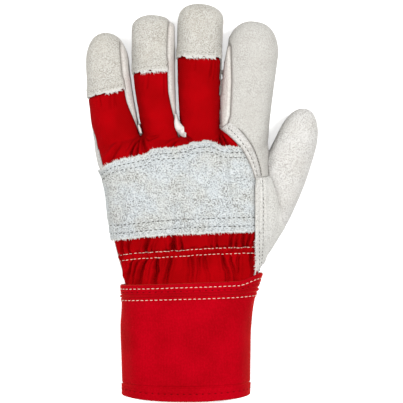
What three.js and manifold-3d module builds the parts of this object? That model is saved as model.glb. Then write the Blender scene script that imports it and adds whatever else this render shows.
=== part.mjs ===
// A left-hand rigger work glove, lying palm down as it rests on a table.
// Suede palm, thumb, index finger, fingertips and knuckle strap, a red cotton back that is gathered
// at the wrist, and an open safety cuff of red rubberised cotton.
// Millimetres. +X points to the thumb side, +Y to the fingertips, +Z up from the table.
// The origin is on the table, under the middle of the palm, which lies flat there.
// The whole glove is a hollow form: lofted hand, fingers and thumb, joined, then cut into the sewn
// pieces along the seams. Laps, strap and cuff lie on top of that form.
import * as THREE from "three";
import { mergeVertices } from "three/addons/utils/BufferGeometryUtils.js";
import Module from "manifold-3d";

const wasm = await Module();
wasm.setup();

// The hand, from the cuff's top edge to the crotches of the fingers
const handLength = 101;
const handWidth = 120;
const handHeight = 46;
const originAlong = 0.48; // where the origin lies, as a share of the hand's length

// Walls and clearances
const leatherWall = 1.6;
const cottonWall = 1.2;
const cuffWall = 1.8;
const seamGap = 0.3; // between pieces that are sewn edge to edge or lie on each other

// The cuff, a tube pulled over the wrist end of the hand
const cuffLength = 78;
const cuffWidth = 87;
const cuffHeight = 42;
const cuffOverlap = 10; // how far the hand reaches down inside it
const cuffCorner = 4.5; // its top edge stands up by this at the thumb side
const cuffFlare = 0.4; // and leans out there by this share of it
const cuffSlant = 0.036; // rise of its top edge to the thumb side, for each mm across
const cuffRimSweep = 3; // the rim's sides lie back by this from its middle
const cuffBandDepth = 7.5; // folded band at the top edge
const cuffHemDepth = 9;
const foldRelief = 0.5; // what a turned hem stands proud

// The gathered wrist
const gatherHeight = 1.5;
const pleatHeight = 1.3;

// The fingers and the thumb. root: the middle of the root, as shares across and along the hand.
// lean: degrees to the thumb side. bow: how far the middle bends aside, as a share of the length.
// dome: length of the rounded tip. back: how far the tube reaches back into the hand, as a share.
// seam: where the back's thumb-side seam runs, as a share of half the width. cap: length of the
// leather fingertip piece. slant: how far that piece's edge reaches back at its little-finger side.
const fingers = {
  little: {
    root: { across: -0.3825, along: 1 },
    length: 71,
    rootWidth: 32.4,
    tipWidth: 28.7,
    height: 27,
    lean: -6.1,
    bow: -0.025,
    dome: 22,
    back: 0.3,
    seam: 0.68,
    cap: 41.5,
    slant: 1.6,
  },
  ring: {
    root: { across: -0.13, along: 1 },
    length: 82.7,
    rootWidth: 24.5,
    tipWidth: 32.4,
    height: 28.5,
    lean: -3.6,
    bow: -0.028,
    dome: 14,
    back: 0.26,
    seam: 0.66,
    cap: 39,
    slant: 0.5,
  },
  middle: {
    root: { across: 0.0935, along: 1 },
    length: 89.8,
    rootWidth: 26.6,
    tipWidth: 33.2,
    height: 29.5,
    lean: 0.8,
    bow: -0.016,
    dome: 13,
    back: 0.24,
    seam: 0.88,
    cap: 37,
    slant: 0,
  },
  index: {
    root: { across: 0.35, along: 1 },
    length: 78.2,
    rootWidth: 31.8,
    tipWidth: 38,
    height: 30,
    lean: 4.85,
    bow: -0.008,
    dome: 26,
    back: 0.27,
  },
  thumb: {
    root: { across: 0.283, along: 0.215 },
    length: 109.4,
    rootWidth: 42,
    tipWidth: 25.5,
    height: 29,
    lean: 26.6,
    bow: 0.0635,
    dome: 26,
    back: 0,
  },
};

// Sections of the hand. Shares of its length, width and height. lift: how far the palm rises off
// the table to make room for the cuff's wall, as a share of that room.
const handRows = [
  { along: 0, left: -0.34, right: 0.41, top: 0.815, lift: 1 },
  { along: 0.09, left: -0.358, right: 0.428, top: 0.8, lift: 0.7 },
  { along: 0.17, left: -0.376, right: 0.445, top: 0.785, lift: 0.3 },
  { along: 0.29, left: -0.4, right: 0.51, top: 0.87, lift: 0 },
  { along: 0.47, left: -0.424, right: 0.548, top: 0.965, lift: 0 },
  { along: 0.63, left: -0.44, right: 0.516, top: 1, lift: 0 },
  { along: 0.72, left: -0.46, right: 0.49, top: 0.995, lift: 0 },
  { along: 0.8, left: -0.49, right: 0.484, top: 0.965, lift: 0 },
  { along: 0.9, left: -0.508, right: 0.48, top: 0.87, lift: 0 },
];
// The rounded edge between the fingers, where palm and back come together
const crotchRows = [
  { along: 0.95, left: -0.514, right: 0.476, top: 0.76, bottom: 0 },
  { along: 0.985, left: -0.508, right: 0.47, top: 0.6, bottom: 0.06 },
  { along: 1, left: -0.49, right: 0.46, top: 0.42, bottom: 0.2 },
];
const wristRow = { left: -0.335, right: 0.385, top: 0.8, lift: 1 };

// Height of a finger, as a share of its height at the tip, and its fullness, along its length
const fingerRise = [
  { along: -0.3, top: 1.27, full: 0.8 },
  { along: 0, top: 1.16, full: 1 },
  { along: 0.2, top: 1.08, full: 1 },
  { along: 0.45, top: 1.02, full: 1 },
  { along: 1, top: 1, full: 1 },
];
const fingerStations = [0, 0.5, 1]; // shares of the stretch before the dome
const domeStations = [0.42, 0.72, 0.93]; // shares of the dome

// Sections of the cuff below the wrist. Shares of its length, width and height.
const cuffRows = [
  { along: 0.35, left: -0.493, right: 0.522, top: 1 },
  { along: 0.65, left: -0.487, right: 0.512, top: 0.99 },
];
const cuffEndRow = { left: -0.481, right: 0.509, top: 0.97 };

// The seam between the back and the side walls, and the one between the side walls and the palm:
// heights, as shares of the hand's height, against shares of the hand's length
const backSeam = [
  { along: -0.3, up: 0.43 },
  { along: 0.75, up: 0.43 },
  { along: 1.05, up: 0.33 },
  { along: 2.2, up: 0.28 },
];
const palmSeam = [
  { along: -0.3, up: 0.17 },
  { along: 2.2, up: 0.13 },
];
const thumbSeamUp = 0.5; // share of the thumb's height

// Seam lines on the back, as shares across and along the hand
const lapEdge = [
  { across: 0.213, along: 1.035 },
  { across: 0.265, along: 0.98 },
  { across: 0.3145, along: 0.911 },
  { across: 0.36, along: 0.816 },
  { across: 0.394, along: 0.701 },
  { across: 0.393, along: 0.614 },
  { across: 0.396, along: 0.345 },
  { across: 0.4, along: 0.09 },
];
const lapSeam = [
  { across: 0.262, along: 1.09 },
  { across: 0.3213, along: 1.02 },
  { across: 0.38, along: 0.926 },
  { across: 0.415, along: 0.837 },
  { across: 0.437, along: 0.708 },
  { across: 0.443, along: 0.54 },
  { across: 0.443, along: 0.23 },
  { across: 0.436, along: 0.09 },
];
const crossRow = 4; // in both tables, the row where a seam crosses the lap
const strapTop = [
  { across: -0.56, along: 0.75 },
  { across: -0.465, along: 0.76 },
  { across: -0.428, along: 0.788 },
  { across: -0.364, along: 0.819 },
  { across: -0.2137, along: 0.8545 },
  { across: -0.165, along: 0.888 },
  { across: -0.0125, along: 0.9045 },
  { across: 0.0527, along: 0.93 },
  { across: 0.131, along: 0.943 },
  { across: 0.176, along: 0.932 },
  { across: 0.209, along: 0.911 },
  { across: 0.298, along: 0.904 },
];
const strapBottom = [
  { across: 0.388, along: 0.356 },
  { across: 0.118, along: 0.347 },
  { across: -0.142, along: 0.33 },
  { across: -0.409, along: 0.298 },
  { across: -0.56, along: 0.285 },
];
// The cotton's little-finger edge, where the palm's leather shows beside it
const cottonEdge = [
  { across: -0.6, along: 0.5 },
  { across: -0.452, along: 0.7 },
  { across: -0.4578, along: 0.77 },
  { across: -0.4857, along: 0.903 },
  { across: -0.5, along: 0.99 },
];
// How the back's seam swings out to the crotch, as shares of a finger's length and half width
const crotchSwing = [
  { along: -0.1, aside: 1.0 },
  { along: 0.08, aside: 0.87 },
  { along: 0.2, aside: 0.74 },
];
// The index finger's seam on its middle-finger side
const indexSeam = [
  { along: -0.02, aside: -1.04 },
  { along: 0.06, aside: -0.88 },
  { along: 0.16, aside: -0.74 },
  { along: 0.45, aside: -0.74 },
  { along: 0.75, aside: -0.86 },
  { along: 0.88, aside: -1.2 },
];

// Folds of the cotton below the strap: across the hand at the top and foot, and width in mm.
// upper folds run from the strap to the shirring, lower ones from the shirring to the cuff.
const upperFolds = [
  { top: -0.372, foot: -0.352, width: 3.4 },
  { top: -0.318, foot: -0.303, width: 4.2 },
  { top: -0.262, foot: -0.252, width: 3.6 },
  { top: -0.205, foot: -0.196, width: 4.8 },
  { top: -0.135, foot: -0.132, width: 4.4 },
  { top: -0.068, foot: -0.078, width: 3.8 },
  { top: -0.012, foot: -0.005, width: 5.4 },
  { top: 0.075, foot: 0.06, width: 4.4 },
  { top: 0.142, foot: 0.135, width: 3.8 },
  { top: 0.21, foot: 0.205, width: 4.6 },
  { top: 0.272, foot: 0.262, width: 3.4 },
  { top: 0.33, foot: 0.318, width: 3.6 },
];
const lowerFolds = [
  { top: -0.325, foot: -0.318, width: 3.2 },
  { top: -0.27, foot: -0.285, width: 4.0 },
  { top: -0.2, foot: -0.222, width: 4.6 },
  { top: -0.118, foot: -0.13, width: 4.2 },
  { top: -0.03, foot: -0.035, width: 5.2 },
  { top: 0.06, foot: 0.058, width: 4.4 },
  { top: 0.15, foot: 0.158, width: 4.2 },
  { top: 0.235, foot: 0.245, width: 3.8 },
  { top: 0.315, foot: 0.325, width: 3.2 },
];
const shirringAlong = { left: 0.17, right: 0.228 }; // middle of the two rows of elastic stitches
const shirringHalf = 3.2; // the folds stop this far from it
// Pleats that run from the crotches down to the strap: shares across and along at either end
const crotchPleats = [
  { across: -0.262, along: 0.965, toAcross: -0.3, toAlong: 0.855, width: 3.2 },
  { across: -0.25, along: 0.965, toAcross: -0.225, toAlong: 0.875, width: 3.0 },
  { across: -0.03, along: 0.962, toAcross: -0.075, toAlong: 0.918, width: 2.6 },
  { across: 0.215, along: 0.96, toAcross: 0.232, toAlong: 0.928, width: 2.4 },
];

const handSides = 30;
const fingerSides = 16;
const squareness = 2.5; // exponent of the rounded sections: 2 is an ellipse
const domeExponent = 2.3;
const sole = 0.8; // how much of a round section the table flattens
const reachOut = 60; // how far cutters pass the glove

const wristY = -originAlong * handLength;
const handX = (across) => across * handWidth;
const handY = (along) => wristY + along * handLength;
const handPoint = ({ across, along }) => [handX(across), handY(along)];

// A value read from a table by its position, straight between the rows
function lookUp(rows, key, at, value) {
  const next = rows.findIndex((row) => row[key] >= at);
  if (next === 0) return rows[0][value];
  if (next < 0) return rows[rows.length - 1][value];
  const low = rows[next - 1];
  const high = rows[next];
  const share = (at - low[key]) / (high[key] - low[key]);
  return THREE.MathUtils.lerp(low[value], high[value], share);
}

// Solids

function solidOf(geometry) {
  const bare = new THREE.BufferGeometry().setAttribute("position", geometry.getAttribute("position"));
  if (geometry.index) bare.setIndex(geometry.index);
  const merged = mergeVertices(bare, 1e-4);
  const made = new wasm.Mesh({
    numProp: 3,
    vertProperties: new Float32Array(merged.attributes.position.array),
    triVerts: new Uint32Array(merged.index.array),
  });
  return new wasm.Manifold(made);
}

// A closed skin through rings of points, with a point in the middle of each end
function loft(rings, startPoint, endPoint) {
  const sides = rings[0].length;
  const last = (rings.length - 1) * sides;
  const points = [...rings.flat(), startPoint, endPoint];
  const faces = [];
  for (let ring = 0; ring < rings.length - 1; ring++)
    for (let side = 0; side < sides; side++) {
      const a = ring * sides + side;
      const b = ring * sides + ((side + 1) % sides);
      faces.push(a, a + sides, b + sides, a, b + sides, b);
    }
  for (let side = 0; side < sides; side++) {
    const next = (side + 1) % sides;
    faces.push(points.length - 2, side, next);
    faces.push(points.length - 1, last + next, last + side);
  }
  const geometry = new THREE.BufferGeometry().setFromPoints(points).setIndex(faces);
  return solidOf(geometry);
}

const middleOf = (ring) =>
  ring.reduce((sum, point) => sum.add(point), new THREE.Vector3()).divideScalar(ring.length);

// A rounded section across a direction in the plan, flattened where it would pass the floor
function section({ x, y, turn, half, low, high, floor, sides }) {
  const middle = (low + high) / 2;
  const rise = (high - low) / 2;
  const rounded = (value) => Math.sign(value) * Math.abs(value) ** (2 / squareness);
  return Array.from({ length: sides }, (_, side) => {
    const angle = (2 * Math.PI * side) / sides;
    const aside = half * rounded(Math.cos(angle));
    const up = middle + rise * rounded(Math.sin(angle));
    return new THREE.Vector3(
      x + aside * Math.cos(turn),
      y - aside * Math.sin(turn),
      Math.max(up, floor),
    );
  });
}

// The hand's left, right, low and high bounds at a row of its tables, grown outwards
function handBounds(row, grow) {
  const lifted = (cuffWall + seamGap) * (row.lift ?? 0);
  const bottom = (row.bottom ?? 0) * handHeight;
  const resting = lifted + bottom > 0 ? 0 : -sole;
  return {
    left: handX(row.left) - grow,
    right: handX(row.right) + grow,
    low: lifted + bottom + resting - grow,
    high: row.top * handHeight + grow,
  };
}

function handSection(row, y, grow, sides = handSides) {
  const { left, right, low, high } = handBounds(row, grow);
  return section({
    x: (left + right) / 2,
    y,
    turn: 0,
    half: (right - left) / 2,
    low,
    high,
    floor: -grow,
    sides,
  });
}

// The hand, grown outwards or, for the hollow, inwards. The hollow runs out of the wrist end.
function handForm(grow) {
  const opening = grow < 0 ? reachOut / 10 : 0;
  const rings = [
    handSection(wristRow, wristY - cuffOverlap - opening, grow),
    ...handRows.map((row) => handSection(row, handY(row.along), grow)),
    ...crotchRows.map((row) => handSection(row, handY(row.along) + grow, grow)),
  ];
  return loft(rings, middleOf(rings[0]), middleOf(rings[rings.length - 1]));
}

// The line down the middle of a finger: a point and a turn to the thumb side, at a length from the root
function fingerAxis(finger) {
  const lean = THREE.MathUtils.degToRad(finger.lean);
  const root = new THREE.Vector2(...handPoint(finger.root));
  const ahead = new THREE.Vector2(Math.sin(lean), Math.cos(lean));
  const aside = new THREE.Vector2(ahead.y, -ahead.x);
  const tip = root.clone().addScaledVector(ahead, finger.length);
  const bend = root
    .clone()
    .addScaledVector(ahead, finger.length / 2)
    .addScaledVector(aside, 2 * finger.bow * finger.length);
  const curve = new THREE.QuadraticBezierCurve(root, bend, tip);
  return (at) => {
    const share = THREE.MathUtils.clamp(at / finger.length, 0, 1);
    const heading = curve.getTangent(share);
    const beyond = at - share * finger.length;
    const point = curve.getPoint(share).addScaledVector(heading, beyond);
    return { x: point.x, y: point.y, turn: Math.atan2(heading.x, heading.y) };
  };
}

const fingerHalf = (finger, at) =>
  THREE.MathUtils.lerp(finger.rootWidth, finger.tipWidth, at / finger.length) / 2;

// A point in the plan, at a length along a finger and a distance to its thumb side
function besideFinger(finger, at, aside) {
  const { x, y, turn } = fingerAxis(finger)(at);
  return [x + aside * Math.cos(turn), y - aside * Math.sin(turn)];
}

function fingerSection(finger, at, share, grow) {
  const rise = finger.back > 0 ? lookUp(fingerRise, "along", at / finger.length, "top") : 1;
  const high = finger.height * rise;
  const middle = high / 2;
  return section({
    ...fingerAxis(finger)(at),
    half: fingerHalf(finger, at) * share + grow,
    low: middle - (middle + sole) * share - grow,
    high: middle + (high - middle) * share + grow,
    floor: -grow,
    sides: fingerSides,
  });
}

// A finger's tube with its rounded tip, grown outwards or inwards
function fingerForm(finger, grow) {
  const straight = finger.length - finger.dome;
  const dome = finger.dome + grow;
  const rings = fingerStations.map((share) => fingerSection(finger, straight * share, 1, grow));
  const start = -finger.back * finger.length - grow;
  if (finger.back === 0) rings.shift();
  rings.unshift(fingerSection(finger, start, finger.back > 0 ? fingerRise[0].full : 1, grow));
  for (const share of domeStations) {
    const taper = (1 - share ** domeExponent) ** (1 / domeExponent);
    rings.push(fingerSection(finger, straight + dome * share, taper, grow));
  }
  const end = middleOf(rings[rings.length - 1]);
  const tip = fingerAxis(finger)(finger.length + grow);
  return loft(rings, middleOf(rings[0]), new THREE.Vector3(tip.x, tip.y, end.z));
}

// The hand and its four fingers, and the whole glove without its cuff
function mittForm(grow) {
  return ["little", "ring", "middle", "index"].reduce(
    (form, name) => form.add(fingerForm(fingers[name], grow)),
    handForm(grow),
  );
}
const gloveForm = (grow) => mittForm(grow).add(fingerForm(fingers.thumb, grow));

// Cutters

// An outline in the plan, moved outwards by a distance at every corner
function grownOutline(outline, grow) {
  if (grow === 0) return outline;
  const points = outline.map(([x, y]) => new THREE.Vector2(x, y));
  const facing = THREE.ShapeUtils.area(points) > 0 ? 1 : -1;
  return points.map((point, index) => {
    const before = points[(index + points.length - 1) % points.length];
    const after = points[(index + 1) % points.length];
    const intoCorner = point.clone().sub(before).normalize();
    const outOfCorner = after.clone().sub(point).normalize();
    const outward = new THREE.Vector2(
      intoCorner.y + outOfCorner.y,
      -intoCorner.x - outOfCorner.x,
    ).normalize();
    const sharpness = Math.max(0.5, outward.x * outOfCorner.y - outward.y * outOfCorner.x);
    const moved = point.addScaledVector(outward, (facing * grow) / sharpness);
    return [moved.x, moved.y];
  });
}

// Everything that stands over an outline in the plan
function over(outline, grow) {
  const shape = new THREE.Shape(grownOutline(outline, grow).map(([x, y]) => new THREE.Vector2(x, y)));
  const geometry = new THREE.ExtrudeGeometry(shape, { depth: 2 * reachOut, bevelEnabled: false });
  return solidOf(geometry.translate(0, 0, -reachOut));
}

// Everything above a seam whose height follows a table along the hand
function above(seam, grow) {
  const line = seam.map(
    ({ along, up }) => new THREE.Vector2(handY(along), up * handHeight - grow),
  );
  const top = 2 * reachOut;
  const shape = new THREE.Shape([
    ...line,
    new THREE.Vector2(line[line.length - 1].x, top),
    new THREE.Vector2(line[0].x, top),
  ]);
  const breadth = 4 * reachOut;
  const geometry = new THREE.ExtrudeGeometry(shape, { depth: breadth, bevelEnabled: false });
  const alongX = new THREE.Matrix4().makeBasis(
    new THREE.Vector3(0, 1, 0),
    new THREE.Vector3(0, 0, 1),
    new THREE.Vector3(1, 0, 0),
  );
  return solidOf(geometry.translate(0, 0, -breadth / 2).applyMatrix4(alongX));
}

const largest = (solid) =>
  solid.decompose().reduce((best, body) => (body.volume() > best.volume() ? body : best));

// The outer form is cut into pieces one after another. What is cut is taken a seam's gap wider
// from what stays, so that no two pieces touch.
let uncut = gloveForm(0);
const hollows = new Map();
function hollow(wall) {
  if (!hollows.has(wall)) hollows.set(wall, gloveForm(-wall));
  return hollows.get(wall);
}
function cutPiece(cutter, wall) {
  const piece = uncut.intersect(cutter(0)).subtract(hollow(wall));
  uncut = uncut.subtract(cutter(seamGap));
  return largest(piece);
}

// A layer that lies on the hand, clear of the thumb
const clearOfThumb = fingerForm(fingers.thumb, 2 * seamGap);
const layer = mittForm(seamGap + leatherWall).subtract(mittForm(seamGap)).subtract(clearOfThumb);
const layOn = (outline) => largest(layer.intersect(over(outline, 0)).intersect(above(backSeam, 0)));

// Outlines in the plan

const besideGap = 0.7; // how far a finger's outline reaches past its side, into the gap there
const capEdge = (finger, side) => finger.length - finger.cap + side * finger.slant;

// The stretch of a finger's back from one length to another, up to the seam at its thumb side
function fingerBack(finger, from, to) {
  const outer = (at) => besideFinger(finger, at, -fingerHalf(finger, at) - besideGap);
  const seam = (at) => {
    const share = Math.max(
      finger.seam,
      at / finger.length < crotchSwing[2].along
        ? lookUp(crotchSwing, "along", at / finger.length, "aside")
        : 0,
    );
    return besideFinger(finger, at, fingerHalf(finger, at) * share);
  };
  const stations = (low, high) => {
    const inner = [0.08, 0.2, 0.4, 0.6, 0.8].map((share) => share * finger.length);
    return [low, ...inner.filter((at) => at > low + 1 && at < high - 1), high];
  };
  const up = stations(from.left, to).map(outer);
  const down = stations(from.right, to).map(seam).reverse();
  return [...up, ...down];
}

const pastTip = 6;
const capOutline = (finger) =>
  fingerBack(
    finger,
    { left: capEdge(finger, -1), right: capEdge(finger, 1) },
    finger.length + pastTip,
  );
function cottonFinger(finger) {
  const into = -0.1 * finger.length;
  const left = stationsBelow(finger, into, capEdge(finger, -1));
  const right = stationsBelow(finger, into, capEdge(finger, 1)).reverse();
  return [
    ...left.map((at) => besideFinger(finger, at, -fingerHalf(finger, at) - besideGap)),
    ...right.map((at) => besideFinger(finger, at, fingerHalf(finger, at) * seamShare(finger, at))),
  ];
}
function stationsBelow(finger, low, high) {
  const inner = [0.08, 0.2, 0.4].map((share) => share * finger.length);
  return [low, ...inner.filter((at) => at < high - 1), high];
}
function seamShare(finger, at) {
  const swung = lookUp(crotchSwing, "along", at / finger.length, "aside");
  return at / finger.length < crotchSwing[2].along ? Math.max(finger.seam, swung) : finger.seam;
}

const farRight = 0.62;
const lapLine = lapSeam.map(handPoint);
const lapCross = lapLine[crossRow];
const farAcross = handPoint({ across: farRight, along: lapSeam[crossRow].along + 0.03 });

// Pieces

const piece = {};

const thumbCutter = (grow) =>
  fingerForm(fingers.thumb, seamGap)
    .subtract(handForm(seamGap - grow))
    .subtract(fingerForm(fingers.index, seamGap - grow));
const thumbTop = (grow) =>
  thumbCutter(grow).intersect(
    solidOf(
      new THREE.BoxGeometry(4 * reachOut, 4 * reachOut, 2 * reachOut).translate(
        0,
        0,
        reachOut + thumbSeamUp * fingers.thumb.height - grow,
      ),
    ),
  );
piece.thumb_back = cutPiece(thumbTop, leatherWall);
piece.thumb_front = cutPiece(thumbCutter, leatherWall);

for (const name of ["little", "ring", "middle"])
  piece[`fingertip_${name}`] = cutPiece(
    (grow) => over(capOutline(fingers[name]), grow).intersect(above(backSeam, grow)),
    leatherWall,
  );

const handCotton = [
  handPoint({ across: -farRight, along: -0.2 }),
  ...cottonEdge.map(handPoint),
  handPoint({ across: lapSeam[1].across, along: cottonEdge.at(-1).along }),
  ...lapLine.slice(2),
  handPoint({ across: lapSeam.at(-1).across, along: -0.2 }),
];
const cottonCutter = (grow) =>
  ["little", "ring", "middle"]
    .reduce(
      (cutter, name) => cutter.add(over(cottonFinger(fingers[name]), grow)),
      over(handCotton, grow),
    )
    .intersect(above(backSeam, grow));
const cotton = cutPiece(cottonCutter, cottonWall);

const index = fingers.index;
const indexOutline = [
  ...indexSeam.map(({ along, aside }) =>
    besideFinger(index, along * index.length, aside * fingerHalf(index, along * index.length)),
  ),
  besideFinger(index, index.length + pastTip, -index.tipWidth / 2),
  besideFinger(index, index.length + pastTip, index.tipWidth),
  handPoint({ across: farRight, along: 1.2 }),
  farAcross,
  ...lapLine.slice(1, crossRow + 1).reverse(),
];
piece.index_back = cutPiece(
  (grow) => over(indexOutline, grow).intersect(above(backSeam, grow)),
  leatherWall,
);

// The side panel lies beside the cotton, and its folded edge laps over it.
const sideOutline = [
  ...lapLine.slice(crossRow),
  handPoint({ across: lapSeam.at(-1).across, along: -0.2 }),
  handPoint({ across: farRight, along: -0.2 }),
  farAcross,
];
const sideBase = cutPiece(
  (grow) => over(sideOutline, grow).intersect(above(backSeam, grow)),
  leatherWall,
);
const foldHalf = 1.4;
const shifted = (points, aside) => points.map(([x, y]) => [x + aside, y]);
const lapLow = lapLine.slice(crossRow);
const sideFold = mittForm(seamGap + leatherWall)
  .subtract(hollow(leatherWall))
  .subtract(clearOfThumb)
  .intersect(over([...shifted(lapLow, -foldHalf / 2), ...shifted(lapLow, 2 * foldHalf).reverse()], 0))
  .intersect(above(backSeam, 0));
const lapOutline = [...lapEdge.slice(crossRow).map(handPoint), ...shifted(lapLow, foldHalf).reverse()];
const sideLap = layer.intersect(over(lapOutline, 0)).intersect(above(backSeam, 0));
const aboveCross = [
  farAcross,
  lapCross,
  handPoint({ across: 0.2, along: lapSeam[crossRow].along }),
  handPoint({ across: 0.2, along: 1 }),
  handPoint({ across: farRight, along: 1 }),
];
piece.side_panel = largest(
  sideBase
    .add(sideFold.intersect(over(sideOutline, 0)))
    .add(sideLap)
    .subtract(over(aboveCross, seamGap)),
);

const walls = [
  ["little", "ring"],
  ["ring", "middle"],
  ["middle", "index"],
];
for (const [near, far] of walls) {
  const axis = (name) =>
    [-0.13, 0.2, 0.5, 0.8, 1.1].map((share) =>
      besideFinger(fingers[name], share * fingers[name].length, 0),
    );
  const zone = [...axis(near), ...axis(far).reverse()];
  piece[`side_wall_${near}_${far}`] = cutPiece(
    (grow) => over(zone, grow).intersect(above(palmSeam, grow)),
    leatherWall,
  );
}
piece.palm = largest(uncut.subtract(hollow(leatherWall)));

piece.edge_strip = layOn([
  ...lapEdge.slice(0, crossRow + 1).map(handPoint),
  ...lapLine.slice(0, crossRow + 1).reverse(),
]);
const strapSide = lapEdge.slice(2, crossRow + 2).map(handPoint);
piece.knuckle_strap = layOn([
  ...strapTop.map(handPoint),
  ...shifted(strapSide, -2 * seamGap),
  ...strapBottom.map(handPoint),
]);

// Folds of the cotton: half-round ridges that taper to nothing at both ends
function backHeight(x, y) {
  const along = (y - wristY) / handLength;
  const rows = [...handRows, ...crotchRows];
  const bound = (key) => lookUp(rows, "along", along, key);
  const left = handX(bound("left"));
  const right = handX(bound("right"));
  const share = Math.min(1, Math.abs((2 * x - left - right) / (right - left)));
  const high = bound("top") * handHeight;
  return high / 2 + (high / 2) * (1 - share ** squareness) ** (1 / squareness);
}
function ridge([fromX, fromY], [toX, toY], width, height) {
  const heading = new THREE.Vector2(toX - fromX, toY - fromY).normalize();
  const sunk = -0.6 * cottonWall;
  const profile = [
    { aside: 0.5, up: sunk },
    { aside: 0.2, up: height },
    { aside: -0.2, up: height },
    { aside: -0.5, up: sunk },
  ];
  const rings = [
    { share: 0, swell: 0.12 },
    { share: 0.5, swell: 1 },
    { share: 1, swell: 0.12 },
  ].map(({ share, swell }) =>
    profile.map(({ aside, up }) => {
      const x = fromX + (toX - fromX) * share + aside * width * swell * heading.y;
      const y = fromY + (toY - fromY) * share - aside * width * swell * heading.x;
      const lifted = up > 0 ? up * swell : up;
      return new THREE.Vector3(x, y, backHeight(x, y) + lifted);
    }),
  );
  return loft(rings, middleOf(rings[0]), middleOf(rings[rings.length - 1]));
}
const shirringY = (x) =>
  handY(
    THREE.MathUtils.mapLinear(x, handX(-0.37), handX(0.4), shirringAlong.left, shirringAlong.right),
  );
const strapFootY = (x) => handY(lookUp([...strapBottom].reverse(), "across", x / handWidth, "along"));
const foldClearance = 1.2;
const cuffTopY = (x) => wristY + cuffSlant * x;
const folds = [
  ...upperFolds.map(({ top, foot, width }) =>
    ridge(
      [handX(top), strapFootY(handX(top)) - foldClearance],
      [handX(foot), shirringY(handX(foot)) + shirringHalf],
      width,
      gatherHeight,
    ),
  ),
  ...lowerFolds.map(({ top, foot, width }) =>
    ridge(
      [handX(top), shirringY(handX(top)) - shirringHalf],
      [handX(foot), cuffTopY(handX(foot)) + foldClearance],
      width,
      gatherHeight,
    ),
  ),
  ...crotchPleats.map(({ across, along, toAcross, toAlong, width }) =>
    ridge(
      [handX(across), handY(along)],
      [handX(toAcross), handY(toAlong)],
      width,
      pleatHeight,
    ),
  ),
];
piece.back_cotton = largest(folds.reduce((body, fold) => body.add(fold), cotton));

// The cuff. Where it lies over the hand, it follows the hand's own sections.
function wristBounds(depth, grow) {
  const share = depth / cuffOverlap;
  const between = (key) => THREE.MathUtils.lerp(handRows[0][key], wristRow[key], share);
  const row = { left: between("left"), right: between("right"), top: between("top"), lift: 1 };
  return handBounds(row, grow);
}
function cuffForm(inset, proud) {
  const isInside = inset > 0;
  const onHand = (depth) => ({
    ...wristBounds(depth, seamGap + cuffWall - inset),
    y: wristY - depth,
  });
  const free = (row, along) => ({
    left: row.left * cuffWidth + inset,
    right: row.right * cuffWidth - inset,
    low: inset,
    high: row.top * cuffHeight - inset,
    y: wristY - along * cuffLength,
  });
  const hemTop = 1 - cuffHemDepth / cuffLength;
  const rows = [
    { ...onHand(0), relief: proud, corner: 1 },
    { ...onHand(cuffBandDepth), relief: proud, corner: 0.4 },
    { ...onHand(cuffBandDepth + foldRelief), relief: 0, corner: 0.3 },
    { ...onHand(cuffOverlap + seamGap), relief: 0, corner: 0.2 },
    ...cuffRows.map((row) => ({ ...free(row, row.along), relief: 0, corner: 0 })),
    { ...free(cuffEndRow, hemTop - foldRelief / cuffLength), relief: 0, corner: 0 },
    { ...free(cuffEndRow, hemTop), relief: proud, corner: 0 },
    { ...free(cuffEndRow, 1), relief: proud, corner: 0 },
  ];
  if (isInside) {
    const [, rising] = handRows;
    rows.splice(1, 2);
    rows.unshift({ ...handBounds(rising, seamGap), y: handY(rising.along), relief: 0, corner: 0 });
    rows.splice(-3, 2);
    rows.at(-1).y -= cuffRimSweep;
  }
  const rings = rows.map(({ left, right, low, high, y, relief, corner }) => {
    const middle = (left + right) / 2;
    const half = (right - left) / 2;
    const share = (y - wristY) / -cuffLength;
    const ring = section({
      x: middle,
      y,
      turn: 0,
      half: half + relief,
      low: low - sole,
      high: high + relief,
      floor: inset,
      sides: handSides,
    });
    if (isInside) return ring;
    return ring.map((point) => {
      const aside = (point.x - middle) / half;
      const raised = THREE.MathUtils.smoothstep(aside, 0.7, 1) * cuffCorner * corner;
      const slanted = cuffSlant * point.x * (1 - share);
      const swept = cuffRimSweep * share ** 4 * Math.abs(aside) ** 2.5;
      point.x += cuffFlare * raised;
      point.y += raised + slanted + swept;
      return point;
    });
  });
  rings.reverse();
  return loft(rings, middleOf(rings[0]), middleOf(rings[rings.length - 1]));
}
piece.cuff = largest(cuffForm(0, foldRelief).subtract(cuffForm(cuffWall, 0)));

// The scene graph

const suede = { color: 0xdedbd2, roughness: 0.95, metalness: 0 };
const finishes = {
  palm: suede,
  index_back: suede,
  side_panel: suede,
  edge_strip: suede,
  thumb_back: suede,
  thumb_front: suede,
  side_wall_little_ring: suede,
  side_wall_ring_middle: suede,
  side_wall_middle_index: suede,
  fingertip_little: suede,
  fingertip_ring: suede,
  fingertip_middle: suede,
  knuckle_strap: { color: 0xdfe1de, roughness: 0.97, metalness: 0 },
  back_cotton: { color: 0xb80010, roughness: 0.9, metalness: 0 },
  cuff: { color: 0xc00518, roughness: 0.75, metalness: 0 },
};

function meshOf(name, solid) {
  const { vertProperties, triVerts, numProp, numVert } = solid.getMesh();
  const points = new Float32Array(numVert * 3);
  for (let vertex = 0; vertex < numVert; vertex++)
    points.set(vertProperties.subarray(vertex * numProp, vertex * numProp + 3), vertex * 3);
  const geometry = new THREE.BufferGeometry();
  geometry.setAttribute("position", new THREE.BufferAttribute(points, 3));
  geometry.setIndex(new THREE.BufferAttribute(triVerts, 1));
  geometry.computeVertexNormals();
  const mesh = new THREE.Mesh(geometry, new THREE.MeshStandardMaterial(finishes[name]));
  mesh.name = name;
  return mesh;
}

const glove = new THREE.Group();
for (const [name, solid] of Object.entries(piece)) glove.add(meshOf(name, solid));

export default glove;
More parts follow.
